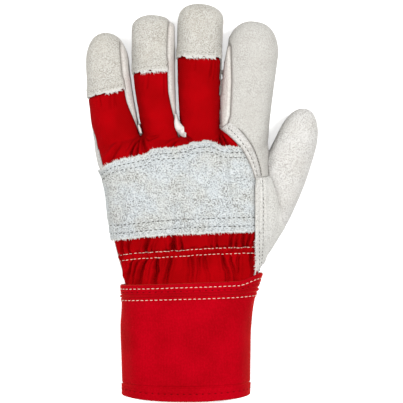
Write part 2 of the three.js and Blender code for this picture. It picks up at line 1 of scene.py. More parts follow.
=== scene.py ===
# A left-hand rigger work glove, lying palm down: suede palm, thumb, index finger, fingertips and
# knuckle strap, a red cotton back gathered at the wrist, and an open safety cuff.
# Lengths are millimetres until a mesh is made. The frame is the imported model's: +X to the thumb,
# +Y to the fingertips, +Z up from the table.
import math

import bmesh
import bpy
import numpy as np
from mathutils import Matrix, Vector, noise
from mathutils.bvhtree import BVHTree


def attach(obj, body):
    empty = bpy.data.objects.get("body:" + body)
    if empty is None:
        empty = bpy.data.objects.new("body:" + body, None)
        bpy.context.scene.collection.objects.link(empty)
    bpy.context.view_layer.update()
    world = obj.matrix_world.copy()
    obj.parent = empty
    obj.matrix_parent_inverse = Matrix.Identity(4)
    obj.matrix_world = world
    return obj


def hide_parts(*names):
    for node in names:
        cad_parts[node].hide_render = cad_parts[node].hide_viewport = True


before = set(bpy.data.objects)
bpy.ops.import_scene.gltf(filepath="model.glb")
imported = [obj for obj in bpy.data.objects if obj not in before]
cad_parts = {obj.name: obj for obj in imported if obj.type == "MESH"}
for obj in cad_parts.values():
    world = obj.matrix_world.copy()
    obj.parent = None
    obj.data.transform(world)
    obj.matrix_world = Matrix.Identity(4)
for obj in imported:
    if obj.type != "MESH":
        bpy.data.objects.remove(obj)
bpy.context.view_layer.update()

# The form. The glove is sewn from flat pieces inside out, turned, and filled out by the hand. One
# smooth skin over hand, fingers and thumb stands for that filled form, and the pieces are cut out
# of it, so that neighbours meet at their seams.
MM = 0.001
table_gap = 0.05
hand_long, hand_wide, hand_high = 101, 120, 46
wrist_y = -0.48 * hand_long
cuff_wall = 1.8
cuff_gap = 0.3
skin_step = 0.66
squareness = 2.5
sole = 0.8
ring_sides = 72

hand_rows = np.array([
    # along, left, right, top, bottom, lift
    (-0.13, -0.333, 0.377, 0.80, 0.00, 1.0),
    (0.00, -0.340, 0.410, 0.815, 0.00, 1.0),
    (0.09, -0.358, 0.428, 0.80, 0.00, 0.7),
    (0.17, -0.376, 0.445, 0.785, 0.00, 0.3),
    (0.29, -0.400, 0.510, 0.87, 0.00, 0.0),
    (0.47, -0.424, 0.548, 0.965, 0.00, 0.0),
    (0.63, -0.440, 0.516, 1.00, 0.00, 0.0),
    (0.72, -0.460, 0.490, 0.995, 0.00, 0.0),
    (0.80, -0.490, 0.484, 0.965, 0.00, 0.0),
    (0.90, -0.508, 0.480, 0.87, 0.00, 0.0),
    (0.95, -0.514, 0.476, 0.76, 0.00, 0.0),
    (0.985, -0.508, 0.470, 0.60, 0.06, 0.0),
    (1.00, -0.490, 0.460, 0.42, 0.20, 0.0),
])
finger_rows = np.array([
    # along, top, fullness
    (-0.30, 1.27, 0.80),
    (0.00, 1.16, 1.00),
    (0.20, 1.08, 1.00),
    (0.45, 1.02, 1.00),
    (1.00, 1.00, 1.00),
])


class Finger:
    """One finger's tube: its middle line in the plan, its widths and its rounded tip."""

    def __init__(self, across, along, length, widths, height, lean, bow, dome, back, seam, cap):
        self.length, self.widths, self.height = length, widths, height
        self.dome, self.back, self.seam, self.cap = dome, back, seam, cap
        lean = math.radians(lean)
        ahead = np.array((math.sin(lean), math.cos(lean)))
        aside = np.array((ahead[1], -ahead[0]))
        self.root = np.array((across * hand_wide, wrist_y + along * hand_long))
        self.bend = self.root + ahead * length / 2 + aside * 2 * bow * length
        self.tip = self.root + ahead * length

    def axis(self, at):
        """The point on the middle line and the turn to the thumb side, at a length from the root."""
        share = min(max(at / self.length, 0), 1)
        point = (
            (1 - share) ** 2 * self.root + 2 * share * (1 - share) * self.bend + share**2 * self.tip
        )
        heading = (1 - share) * (self.bend - self.root) + share * (self.tip - self.bend)
        heading /= np.linalg.norm(heading)
        return point + heading * (at - share * self.length), math.atan2(*heading)

    def half(self, at):
        root, tip = self.widths
        return (root + (tip - root) * at / self.length) / 2

    def beside(self, at, aside):
        point, turn = self.axis(at)
        return point + aside * np.array((math.cos(turn), -math.sin(turn)))

    def at_side(self, at, side, more=0.0):
        """The point at a length, off the middle by a share of the half width and some more."""
        return self.beside(at, side * self.half(at) + more)


fingers = {
    # across, along, length, widths, height, lean, bow, dome, back, seam, cap
    "little": Finger(-0.3825, 1, 71, (32.4, 28.7), 27, -6.1, -0.025, 22, 0.3, 0.72, (41.5, 1.6)),
    "ring": Finger(-0.13, 1, 82.7, (24.5, 32.4), 28.5, -3.6, -0.028, 14, 0.26, 0.7, (39, 0.5)),
    "middle": Finger(0.0935, 1, 89.8, (26.6, 33.2), 29.5, 0.8, -0.016, 13, 0.24, 1.0, (37, 0)),
    "index": Finger(0.35, 1, 78.2, (31.8, 38), 30, 4.85, -0.008, 26, 0.27, None, None),
    "thumb": Finger(0.283, 0.215, 109.4, (42, 25.5), 29, 26.6, 0.0635, 26, 0, None, None),
}


def curve_through(at, rows, column):
    """A smooth curve through a table's rows, read at any place along it."""
    xs, ys = rows[:, 0], rows[:, column]
    slopes = np.gradient(ys, xs)
    row = np.clip(np.searchsorted(xs, at) - 1, 0, len(xs) - 2)
    width = xs[row + 1] - xs[row]
    share = np.clip((at - xs[row]) / width, 0, 1)
    return (
        (1 + 2 * share) * (1 - share) ** 2 * ys[row]
        + share * (1 - share) ** 2 * width * slopes[row]
        + share**2 * (3 - 2 * share) * ys[row + 1]
        + share**2 * (share - 1) * width * slopes[row + 1]
    )


def fade(value, low, high):
    """From 0 at low to 1 at high, smoothly."""
    share = np.clip((value - low) / (high - low), 0, 1)
    return share * share * (3 - 2 * share)


def ring(x, y, turn, half, low, high):
    """A rounded section across the plan, cut off at the table."""
    angle = np.linspace(0, 2 * math.pi, ring_sides, endpoint=False)
    aside, up = (
        np.sign(value) * np.abs(value) ** (2 / squareness)
        for value in (np.cos(angle), np.sin(angle))
    )
    height = np.maximum((low + high) / 2 + (high - low) / 2 * up, 0)
    return np.column_stack(
        (x + half * aside * math.cos(turn), y - half * aside * math.sin(turn), height)
    )


def hand_ring(along):
    """The hand's section at a share of its length."""
    left, right, top, bottom, lift = (curve_through(along, hand_rows, c) for c in range(1, 6))
    left, right = left * hand_wide, right * hand_wide
    low = bottom * hand_high + lift * (cuff_wall + cuff_gap) - sole * (1 - lift)
    y = wrist_y + along * hand_long
    return ring((left + right) / 2, y, 0, (right - left) / 2, low, top * hand_high)


def finger_ring(finger, at, share):
    rise = curve_through(at / finger.length, finger_rows, 1) if finger.back else 1
    high = finger.height * rise
    middle = high / 2
    (x, y), turn = finger.axis(at)
    low = middle - (middle + sole) * share
    points = ring(x, y, turn, finger.half(at) * share, low, middle + (high - middle) * share)
    if finger is fingers["index"]:  # fuller towards the middle finger, at its root
        points[:, 0] -= (points[:, 0] < x) * np.interp(at, (0, 20, 45, 62), (2.3, 2.1, 1.2, 0))
    return points


def finger_rings(finger):
    straight = finger.length - finger.dome
    rings = []
    for at in np.linspace(-finger.back * finger.length, straight, 30):
        full = curve_through(min(at, 0) / finger.length, finger_rows, 2) if finger.back else 1
        rings.append(finger_ring(finger, at, full))
    for share in np.sin(np.linspace(0, math.pi / 2, 14))[1:-1]:
        taper = (1 - share**2.3) ** (1 / 2.3)
        rings.append(finger_ring(finger, straight + finger.dome * share, taper))
    return rings


def tube(rings):
    """A closed skin through rings, as points and faces that look outwards."""
    sides = len(rings[0])
    side = np.arange(sides)
    beside = (side + 1) % sides
    faces = []
    for start in range(0, (len(rings) - 1) * sides, sides):
        quads = (start + side, start + sides + side, start + sides + beside, start + beside)
        faces += np.column_stack(quads).tolist()
    last = (len(rings) - 1) * sides
    faces += [side.tolist(), (last + side)[::-1].tolist()]
    return np.concatenate(rings), faces


class Skin:
    """A piece of hide or cloth: its points with their normals, their distances to a seam and to
    each of the tubes, and its triangles."""

    def __init__(self, points, normals, seam, near, faces):
        self.points, self.normals, self.faces = points, normals, faces
        self.seam, self.near = seam, near

    def cut(self, keep, is_seam=True):
        """What lies where keep is above zero, with a clean edge where it is zero."""
        keep = np.where(np.abs(keep) < 1e-4, 1e-4, keep)
        within = (keep > 0)[self.faces]
        count = within.sum(axis=1)
        seam = np.minimum(self.seam, np.abs(keep)) if is_seam else self.seam
        values = np.column_stack((self.points, self.normals, seam, self.near))
        pieces = [self.faces[count == 3]]
        crossed = []
        for kept in (1, 2):
            rows = np.nonzero(count == kept)[0]
            odd = np.argmax(within[rows] == (kept == 1), axis=1)
            crossed.append(self.faces[rows[:, None], (odd[:, None] + np.arange(3)) % 3])
        pairs = np.concatenate(
            [np.sort(turned[:, corners], axis=1) for turned in crossed for corners in ([0, 1], [0, 2])]
        )
        pairs, at = np.unique(pairs, axis=0, return_inverse=True)
        at = at.reshape(-1) + len(values)
        share = (keep[pairs[:, 0]] / (keep[pairs[:, 0]] - keep[pairs[:, 1]]))[:, None]
        between = values[pairs[:, 0]] * (1 - share) + values[pairs[:, 1]] * share
        if is_seam:
            between[:, 6] = 0
        one, two = crossed
        a, b = at[: len(one)], at[len(one) : 2 * len(one)]
        pieces.append(np.column_stack((one[:, 0], a, b)))
        a, b = at[2 * len(one) : 2 * len(one) + len(two)], at[2 * len(one) + len(two) :]
        pieces.append(np.column_stack((a, two[:, 1], two[:, 2])))
        pieces.append(np.column_stack((a, two[:, 2], b)))
        faces = np.concatenate(pieces)
        used, faces = np.unique(faces, return_inverse=True)
        values = np.concatenate((values, between))[used]
        normals = values[:, 3:6] / np.linalg.norm(values[:, 3:6], axis=1)[:, None]
        return Skin(values[:, :3], normals, values[:, 6], values[:, 7:], faces.reshape(-1, 3))

    def moved(self, outwards):
        """The same piece, with its points moved along their normals."""
        points = self.points + self.normals * np.reshape(outwards, (-1, 1))
        return Skin(points, point_normals(points, self.faces), self.seam, self.near, self.faces)

    def belongs(self, name):
        """Above zero where a finger is nearer than the other fingers."""
        others = [self.near[:, at] for at, other in enumerate(tubes) if other not in (name, "hand")]
        return np.min(others, axis=0) - self.near[:, list(tubes).index(name)]

    def largest(self):
        """Without the crumbs that a cut may leave beside the piece."""
        label = np.arange(len(self.points))
        while True:
            low = label[self.faces].min(axis=1)
            spread = label.copy()
            np.minimum.at(spread, self.faces.reshape(-1), np.repeat(low, 3))
            spread = spread[spread]
            if (spread == label).all():
                break
            label = spread
        main = np.bincount(label).argmax()
        faces = self.faces[label[self.faces[:, 0]] == main]
        used, faces = np.unique(faces, return_inverse=True)
        kept = (values[used] for values in (self.points, self.normals, self.seam, self.near))
        return Skin(*kept, faces.reshape(-1, 3))


def point_normals(points, faces):
    a, b, c = (points[faces[:, corner]] for corner in range(3))
    facing = np.cross(b - a, c - a)
    total = np.column_stack([
        sum(np.bincount(faces[:, corner], facing[:, axis], len(points)) for corner in range(3))
        for axis in range(3)
    ])
    return total / np.maximum(np.linalg.norm(total, axis=1), 1e-9)[:, None]


def evened(points, faces, rounds):
    """Smooths away the voxels' steps, and keeps the volume."""
    edges = np.unique(np.sort(faces[:, [0, 1, 1, 2, 2, 0]].reshape(-1, 2), axis=1), axis=0)
    ends = np.concatenate((edges[:, 0], edges[:, 1]))
    others = np.concatenate((edges[:, 1], edges[:, 0]))
    neighbours = np.bincount(ends, minlength=len(points))[:, None]
    for weight in [0.6, -0.4] * rounds:
        total = np.column_stack(
            [np.bincount(ends, points[others, axis], len(points)) for axis in range(3)]
        )
        points = points + weight * (total / neighbours - points)
    return points


def ripple(points, size, seed):
    """Smooth random heights between -1 and 1, with humps of about a size."""
    shifted = points / size + (seed, seed * 0.7, -seed)
    return np.array([noise.noise(point) for point in shifted.tolist()])


def mesh_from(name, points, faces):
    mesh = bpy.data.meshes.new(name)
    mesh.from_pydata((points * MM).tolist(), [], faces)
    mesh.update()
    return mesh


# Where two fingers lie side by side, from the crotch up: the line between them in the plan. Each is
# kept off it by half a gap, so that they touch without growing together.
finger_gaps = [
    # left, right, half of the gap, line
    ("little", "ring", 0.72, [
        (-29.6, 55.1), (-31.1, 65.3), (-33.0, 75.5), (-34.7, 84.3), (-36.4, 95.2), (-36.7, 107),
    ]),
    ("ring", "middle", 0.72, [
        (-3.8, 60), (-5.0, 70.7), (-5.3, 81.6), (-5.2, 89.8), (-5.4, 103.4), (-5.8, 117),
    ]),
    ("middle", "index", 0.42, [
        (25.0, 58), (24.9, 68), (25.1, 78), (25.8, 90), (27.0, 102), (29.8, 117),
    ]),
]


def kept_apart(name, rings):
    for left, right, half_gap, line in finger_gaps:
        if name not in (left, right):
            continue
        xs, ys = np.array(line).T
        for points in rings:
            limit = np.interp(points[:, 1], ys, xs)
            gap = np.interp(points[:, 1], (ys[0] - 5, ys[0]), (-6, half_gap))
            if name == left:
                points[:, 0] = np.minimum(points[:, 0], limit - gap)
            else:
                points[:, 0] = np.maximum(points[:, 0], limit + gap)
    return rings


tubes = {name: tube(kept_apart(name, finger_rings(finger))) for name, finger in fingers.items()}
tubes["hand"] = tube([hand_ring(along) for along in np.linspace(-0.13, 1, 60)])


def in_scene(name, data):
    made = bpy.data.objects.new(name, data)
    bpy.context.scene.collection.objects.link(made)
    return made


def evaluated(made):
    """An object as its modifiers leave it."""
    return made.evaluated_get(bpy.context.evaluated_depsgraph_get())


def one_skin(tubes):
    """The tubes fused into one smooth skin."""
    points, faces = [], []
    for some_points, some_faces in tubes:
        start = sum(map(len, points))
        points.append(some_points)
        faces += [[start + corner for corner in face] for face in some_faces]
    fused = in_scene("form", mesh_from("form", np.concatenate(points), faces))
    remesh = fused.modifiers.new("remesh", "REMESH")
    remesh.mode, remesh.voxel_size = "VOXEL", skin_step * MM
    seen = evaluated(fused).to_mesh()
    seen.calc_loop_triangles()
    corners = np.empty(len(seen.vertices) * 3, np.float32)
    seen.vertices.foreach_get("co", corners)
    triangles = np.empty(len(seen.loop_triangles) * 3, np.int32)
    seen.loop_triangles.foreach_get("vertices", triangles)
    bpy.data.objects.remove(fused)
    return corners.reshape(-1, 3).astype(float) / MM, triangles.reshape(-1, 3).astype(int)


points, faces = one_skin(tubes.values())
points = evened(points, faces, 7)
normals = point_normals(points, faces)
near = []
for some_points, some_faces in tubes.values():
    tree = BVHTree.FromPolygons(some_points.tolist(), some_faces)
    near.append([tree.find_nearest(point)[3] for point in points.tolist()])
clear_of_cuff = fade(points[:, 1], wrist_y + 2, wrist_y + 14)
clear_of_finger = fade(np.sort(near[:-1], axis=0)[1], 1.5, 6)
uneven = 0.5 * ripple(points, 26, 3.1) + 0.15 * ripple(points, 9, 7.7)
points = points + normals * ((uneven * clear_of_cuff - 0.3) * clear_of_finger)[:, None]
points[:, 2] = np.maximum(points[:, 2], table_gap)
normals = point_normals(points, faces)
form = Skin(points, normals, np.full(len(points), 99.0), np.transpose(near), faces)
form = form.cut(form.points[:, 1] - (wrist_y - 10), is_seam=False)

# The two seams that run round the glove's sides: along and height, as shares of the hand's
back_seam = np.array([(-0.3, 0.43), (0.75, 0.43), (1.05, 0.33), (2.2, 0.28)])
palm_seam = np.array([(-0.3, 0.17), (2.2, 0.13)])


def above(points, seam):
    """Height over a seam line that runs round the glove's sides."""
    along = (points[:, 1] - wrist_y) / hand_long
    return points[:, 2] - np.interp(along, seam[:, 0], seam[:, 1]) * hand_high


def from_line(line, points):
    """Distance in the plan to an open line."""
    x, y = points[:, 0], points[:, 1]
    nearest = np.full(len(points), np.inf)
    for (ax, ay), (bx, by) in zip(line, line[1:]):
        dx, dy = bx - ax, by - ay
        share = np.clip(((x - ax) * dx + (y - ay) * dy) / (dx * dx + dy * dy), 0, 1)
        nearest = np.minimum(nearest, np.hypot(x - ax - share * dx, y - ay - share * dy))
    return nearest


def inside(outline, points):
    """Distance in from an outline in the plan, negative outside it."""
    x, y = points[:, 0], points[:, 1]
    closed = [*outline, outline[0]]
    within = np.zeros(len(points), bool)
    for (ax, ay), (bx, by) in zip(closed, closed[1:]):
        within ^= ((ay > y) != (by > y)) & (x < ax + (y - ay) * (bx - ax) / ((by - ay) or 1))
    nearest = from_line(closed, points)
    return np.where(within, nearest, -nearest)


def patch(outline, skin, seam=back_seam):
    """Above zero where a skin lies inside an outline in the plan and over a seam."""
    return np.minimum(inside(outline, skin.points), above(skin.points, seam))


def hand_points(places):
    """Points in the plan, from shares across the hand's width and along its length."""
    return np.array([(x * hand_wide, wrist_y + y * hand_long) for x, y in places])


line_steps = 6


def smooth_line(line, steps=line_steps):
    """A line in the plan through a few points, without corners."""
    line = np.asarray(line, float)
    at = np.linspace(0, len(line) - 1, (len(line) - 1) * steps + 1)
    rows = np.column_stack((np.arange(len(line)), line))
    return np.column_stack([curve_through(at, rows, column) for column in (1, 2)])


# The thumb. Two halves of split leather, sewn inside out along both edges and set into the palm
# with a round seam. Split leather is suede on both faces: off-white, matt and slightly mottled.


def feed(tree, socket, value):
    """Links a socket to another, or sets it to a plain value."""
    value = getattr(value, "socket", value)
    if isinstance(value, bpy.types.NodeSocket):
        tree.links.new(value, socket)
    else:
        socket.default_value = value


def new_node(tree, kind, settings, inputs):
    """A node, with its inputs fed by name or in their order."""
    made = tree.nodes.new(kind)
    for name, value in settings.items():
        setattr(made, name, value)
    for key, value in inputs.items() if isinstance(inputs, dict) else enumerate(inputs):
        feed(tree, made.inputs[key], value)
    return made


class Value:
    """A number or colour in a material, so that its maths reads as Python."""

    def __init__(self, finish, socket):
        self.finish, self.socket = finish, socket

    def maths(self, operation, *values):
        return self.finish.node("ShaderNodeMath", values, operation=operation)

    def __add__(self, other):
        return self.maths("ADD", self, other)

    def __mul__(self, other):
        return self.maths("MULTIPLY", self, other)

    def __rsub__(self, other):
        return self.maths("SUBTRACT", other, self)

    __radd__ = __add__
    __rmul__ = __mul__


def colour_of(shades):
    """A material's colour from its screen values, 0 to 255, or the colour that nodes already give."""
    return (*((shade / 255) ** 2.2 for shade in shades), 1) if isinstance(shades, tuple) else shades


class Finish:
    """A material, built node by node."""

    def __init__(self, name, **fixed):
        self.material = bpy.data.materials.new(name)
        self.material.use_nodes = True
        self.tree = self.material.node_tree
        self.surface = self.tree.nodes["Principled BSDF"]
        for socket, value in fixed.items():
            self.surface.inputs[socket.replace("_", " ")].default_value = value
        self.place = self.node("ShaderNodeTexCoord", output="Object")

    def node(self, kind, inputs=(), output=0, **settings):
        return Value(self, new_node(self.tree, kind, settings, inputs).outputs[output])

    def attribute(self, name):
        return self.node("ShaderNodeAttribute", output="Fac", attribute_name=name)

    def noise(self, size, detail=2.0):
        """Smooth random values about 0.5, with humps of about a size in mm."""
        inputs = {"Vector": self.place, "Scale": 1 / (size * MM), "Detail": detail}
        return self.node("ShaderNodeTexNoise", inputs)

    def ramp(self, value, low, high):
        return self.node("ShaderNodeMapRange", (value, low, high), interpolation_type="SMOOTHSTEP")

    def mix(self, share, first, second):
        made = self.tree.nodes.new("ShaderNodeMix")
        made.data_type = "RGBA"
        values = {"Factor_Float": share, "A_Color": colour_of(first), "B_Color": colour_of(second)}
        for socket in made.inputs:
            if socket.identifier in values:
                feed(self.tree, socket, values[socket.identifier])
        return Value(self, next(s for s in made.outputs if s.identifier == "Result_Color"))

    def finish(self, colour, roughness, height, depth):
        """Sets what changes over the surface. depth is the relief of the height, in mm."""
        bump = self.node("ShaderNodeBump", {"Height": height, "Distance": depth * MM})
        for name, value in (("Base Color", colour), ("Roughness", roughness), ("Normal", bump)):
            feed(self.tree, self.surface.inputs[name], value)
        return self.material


def suede(name, light, dark, speckle_and_painted_light, clump, relief):
    """Split leather: a short nap that lies in clumps on a blotchy ground. Its low places are darker,
    partly the nap's own pits and partly painted shade, its high places carry painted highlights,
    and its seams a line of painted shade.
    """
    finish = Finish(name, Sheen_Weight=0.05, Sheen_Roughness=0.6, Specular_IOR_Level=0.08)
    blotches = finish.ramp(finish.noise(14, 3), 0.35, 0.68)
    clumps = finish.noise(clump, 1.5)
    grain = finish.noise(0.4)
    height = clumps * 0.8 + grain * 0.2
    rough = finish.ramp(finish.noise(9), 0.3, 0.7) * 0.4 + 0.6
    # darker in the relief's low places, partly the nap's own pits and partly painted shade in the
    # hollows; lighter on its high places, as painted highlights
    pits_and_shade = (1 - finish.ramp(height, 0.38, 0.51)) * rough
    painted_highlights = finish.ramp(height, 0.5, 0.63) * rough
    ground = finish.mix(blotches * 0.6, light, dark)
    # the dark of the pits with painted shade, then the light of the painted highlights
    colour = finish.mix(pits_and_shade * speckle_and_painted_light, ground, (96, 92, 84))
    colour = finish.mix(painted_highlights * speckle_and_painted_light, colour, (200, 201, 198))
    colour = finish.mix(finish.attribute("fresh") * 0.6, colour, (192, 191, 187))
    # painted shade: a dark line along the seams, where shade falls into them
    colour = finish.mix(finish.attribute("groove") * 0.6, colour, (84, 78, 72))
    return finish.finish(colour, 0.9 + 0.08 * grain, height * (0.5 + rough * 0.5), relief)


# each suede's light and dark tone, then how strong its dark pits with painted shade and its painted
# highlights are, clump size and relief
warm_suede = suede("split leather warm", (175, 173, 170), (168, 165, 160), 0.42, 0.85, 1.1)
leather_wall = 1.5
seam_depth, seam_width = 1.3, 1.0


def hump(distance, half):
    """From 1 in the middle to 0 beyond about two half widths."""
    return np.exp(-((distance / half) ** 2))


def sunk(skin, depth=seam_depth, width=seam_width):
    """How far a piece turns in towards its seams."""
    return -depth * hump(skin.seam, width)


def write(mesh, name, values):
    """Stores a value for each point of a mesh, for its material."""
    values = np.asarray(values, np.float32)
    mesh.attributes.new(name, "FLOAT", "POINT").data.foreach_set("value", values)


def sew(
    name, skin, wall, material,
    soft_edge=0.0, rim=0.0, seam_shade=1.0, kept=1.0, extra=False,
):
    """Gives a skin its wall, inwards, and closes its edges. soft_edge rounds the free ones. rim is
    how much of a point is freshly cut edge, which is whiter, and the share after it how dark a
    line of painted shade along its seams is. kept is the share of its triangles that stay. The
    piece replaces its node, unless it is extra."""
    count = len(skin.points)
    faces = skin.faces
    inner = skin.points - skin.normals * wall
    inner[:, 2] = np.maximum(inner[:, 2], np.minimum(skin.points[:, 2] + wall, wall * 0.9))
    edges = faces[:, [0, 1, 1, 2, 2, 0]].reshape(-1, 2)
    sorted_ends = np.sort(edges, axis=1)
    _, at, times = np.unique(sorted_ends, axis=0, return_inverse=True, return_counts=True)
    open_edges = edges[times[at.reshape(-1)] == 1]
    a, b = open_edges[:, 0], open_edges[:, 1]
    outwards = np.zeros((count, 3))
    leaning = np.cross(skin.points[b] - skin.points[a], skin.normals[a])
    for end in (a, b):
        np.add.at(outwards, end, leaning)
    on_rim = np.unique(open_edges)
    outwards = outwards[on_rim] / np.maximum(np.linalg.norm(outwards[on_rim], axis=1), 1e-9)[:, None]
    middle = (skin.points[on_rim] + inner[on_rim]) / 2 + outwards * wall * soft_edge
    middle_at = np.full(count, -1)
    middle_at[on_rim] = 2 * count + np.arange(len(on_rim))
    everything = np.concatenate((skin.points, inner, middle))
    everything[:, 2] = np.maximum(everything[:, 2], table_gap)
    quads = np.concatenate((
        np.column_stack((b, a, middle_at[a], middle_at[b])),
        np.column_stack((middle_at[b], middle_at[a], a + count, b + count)),
    ))
    back_faces = faces[:, ::-1] + count
    mesh = mesh_from(name, everything, [*faces.tolist(), *back_faces.tolist(), *quads.tolist()])
    mesh.materials.append(material)
    mesh.shade_smooth()
    # a dark line of painted shade along the seams, where shade falls into them
    marks = {"fresh": np.broadcast_to(rim, count), "groove": hump(skin.seam, 0.5) * seam_shade}
    for mark, values in marks.items():
        write(mesh, mark, np.concatenate((values, values, values[on_rim])))
    return placed(name, thinned(mesh, kept) if kept < 1 else mesh, extra)


def thinned(mesh, kept):
    """The mesh with a share of its triangles, for pieces too large to keep them all."""
    holder = in_scene(mesh.name, mesh)
    holder.modifiers.new("thinned", "DECIMATE").ratio = kept
    lighter = bpy.data.meshes.new_from_object(evaluated(holder))
    bpy.data.objects.remove(holder)
    return lighter


def placed(name, mesh, extra):
    piece = in_scene(name, mesh)
    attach(piece, "root")
    if not extra:
        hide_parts(name)
    return piece


# the side panel covers the thumb's root: its edge there, from above, and its lower edge
panel_rim = [(90, -140), (90, -16), (67, -8.2), (66.6, -4), (65.3, 2), (61.9, 15), (58.5, 24.5)]
panel_low = 14.6


def on_panel(inner_edge, points):
    outline = [*inner_edge, *panel_rim]
    return np.minimum(inside(outline, points), points[:, 2] - panel_low)


def beside_rim(points):
    """From 0 below the panel's rim to 1 along it."""
    return fade(points[:, 1], -10, 12)


names = list(tubes)
off_thumb = form.near[:, names.index("thumb")]
off_others = np.minimum(form.near[:, names.index("hand")], form.near[:, names.index("index")])
on_thumb = off_others - off_thumb
panel_mask = on_panel([(46, 24), (46, -140)], form.points)
thumb = form.cut(np.minimum(on_thumb, -panel_mask))
rest = form.cut(np.minimum(-on_thumb, 50))
thumb_seam = thumb.points[:, 2] - 0.5 * fingers["thumb"].height
for name, side in (("thumb_back", 1), ("thumb_front", -1)):
    half = thumb.cut(side * thumb_seam).largest()
    to_rim = from_line(panel_rim[2:], half.points)
    tuck = -0.9 * beside_rim(half.points) * hump(to_rim, 2.2) - 0.3 * hump(to_rim, 0.8)
    half = half.moved(sunk(half, 0.8, 1.2) * fade(to_rim, 1, 5) + tuck)
    # painted shade along the thumb's seams, only towards its top, where the index and the panel shade
    # it
    sew(name, half, leather_wall, warm_suede, seam_shade=0.45 * beside_rim(half.points))

# The fingertips. Caps of split leather sewn over the ends of the cotton, with a raw, frayed lower
# edge that lies on the cloth. Their sides go into the same seams as the cotton's.
cap_wall, cap_lift = 1.2, 1.8
cap_suede = suede("split leather fingertips", (167, 164, 157), (160, 156, 147), 0.48, 0.75, 1.4)
cotton_under_cap = 4.0
past_tip = 8
back_shares = (0.03, 0.08, 0.14, 0.19, 0.24, 0.29, 0.34, 0.6, 0.8)
# where a finger's back ends at its thumb side: share of its length, share of its half width
crotch_swing = np.array([(-0.1, 1.02), (0.05, 0.96), (0.14, 0.88), (0.24, 0.78), (0.34, 0.7)])


def back_outline(finger, low, high):
    """A finger's back from one length to another, up to the seam at its thumb side."""
    places = [share * finger.length for share in back_shares]
    places = [low, *(at for at in places if low + 1 < at < high - 1), high]
    out = -1.7 if finger is fingers["little"] else 6
    left = [finger.at_side(at, -1, -np.interp(at, (0, 26), (out, 6))) for at in places]
    right = [
        finger.at_side(at, max(np.interp(at / finger.length, *crotch_swing.T), finger.seam))
        for at in places
    ]
    return left + right[::-1]


def on_back(name, skin, low, high):
    """Above zero on a finger's back, from one length to another."""
    outline = back_outline(fingers[name], low, high)
    return np.minimum(patch(outline, skin), 8 * skin.belongs(name))


def over_cap_edge(finger, points):
    """Distance up the finger from its cap's lower edge."""
    length, slant = finger.cap
    at = finger.length - length
    left = finger.beside(at - slant, -finger.half(at))
    right = finger.beside(at + slant, finger.half(at))
    along = (right - left) / np.linalg.norm(right - left)
    return (points[:, 0] - left[0]) * -along[1] + (points[:, 1] - left[1]) * along[0]


def frayed(points, amount):
    """An uneven edge, as torn fibres leave it."""
    return amount * (0.8 * ripple(points, 2.6, 1.3) + 0.6 * ripple(points, 1.1, 5.2))


caps = {}
for name in ("little", "ring", "middle"):
    finger = fingers[name]
    low = finger.length - finger.cap[0] - 12
    sides = on_back(name, rest, low, finger.length + past_tip)
    up = over_cap_edge(finger, rest.points)
    cap = rest.cut(sides)
    up_cap = over_cap_edge(finger, cap.points)
    bulge = 0.9 * np.cos(np.clip(cap.points[:, 0] - finger.axis(low)[0][0], -14, 14) / 14 * 1.3)
    fray = frayed(cap.points * (1, 0.3, 1), 1.7)
    cap = cap.cut(up_cap + 0.9 * bulge + fray, is_seam=False).largest()
    up_cap = over_cap_edge(finger, cap.points)
    lift = cap_lift * (1 - fade(up_cap, 3.5, 10)) - 0.5 * hump(up_cap - 3.2, 0.8)
    lift = lift + 0.35 * ripple(cap.points, 3.2, 2.8) * (1 - fade(up_cap, 1, 4))
    lift = lift * (0.35 + 0.65 * fade(cap.normals[:, 2], 0, 0.6))
    caps[name] = cap.moved(sunk(cap) + lift)
    fresh = 1 - fade(up_cap, -0.5, 1.3)
    sew(f"fingertip_{name}", caps[name], cap_wall, cap_suede, soft_edge=0.25, rim=fresh)
    rest = rest.cut(-np.minimum(sides, up))

# The back. Red cotton drill, cut in one piece for hand and fingers. Two rows of elastic stitches
# gather it at the wrist, so it stands in folds above and below them, and it is pleated where it is
# eased into the crotches.
cotton_wall = 1.0
cuff_slant = 0.036
shirring_half = 2.0
# the lines of its edges, of the strap on it and of the elastic: shares across and along the hand
far_right = 0.62
cotton_edge = [(-0.6, 0.5), (-0.452, 0.7), (-0.4578, 0.77), (-0.4857, 0.903), (-0.5, 0.99)]
lap_seam = smooth_line(hand_points([
    (0.262, 1.09), (0.3213, 1.02), (0.38, 0.926), (0.415, 0.837),
    (0.437, 0.708), (0.443, 0.54), (0.443, 0.23), (0.436, 0.09), (0.43, -0.2),
]))
cross_at = 4 * line_steps
strap_foot = np.array([(-0.56, 0.285), (-0.409, 0.298), (-0.142, 0.33), (0.118, 0.347), (0.388, 0.356)])
strap_low = smooth_line(hand_points(strap_foot))
strap_top = smooth_line(hand_points([
    (-0.56, 0.75), (-0.465, 0.76), (-0.428, 0.788), (-0.364, 0.819), (-0.2137, 0.8545),
    (-0.165, 0.888), (-0.0125, 0.9045), (0.0527, 0.93), (0.131, 0.943), (0.176, 0.932),
    (0.209, 0.911), (0.298, 0.904), (0.34, 0.904),
]))
shirring = np.array([(-0.42, 0.162), (-0.27, 0.187), (0.0, 0.207), (0.15, 0.219), (0.42, 0.228)])


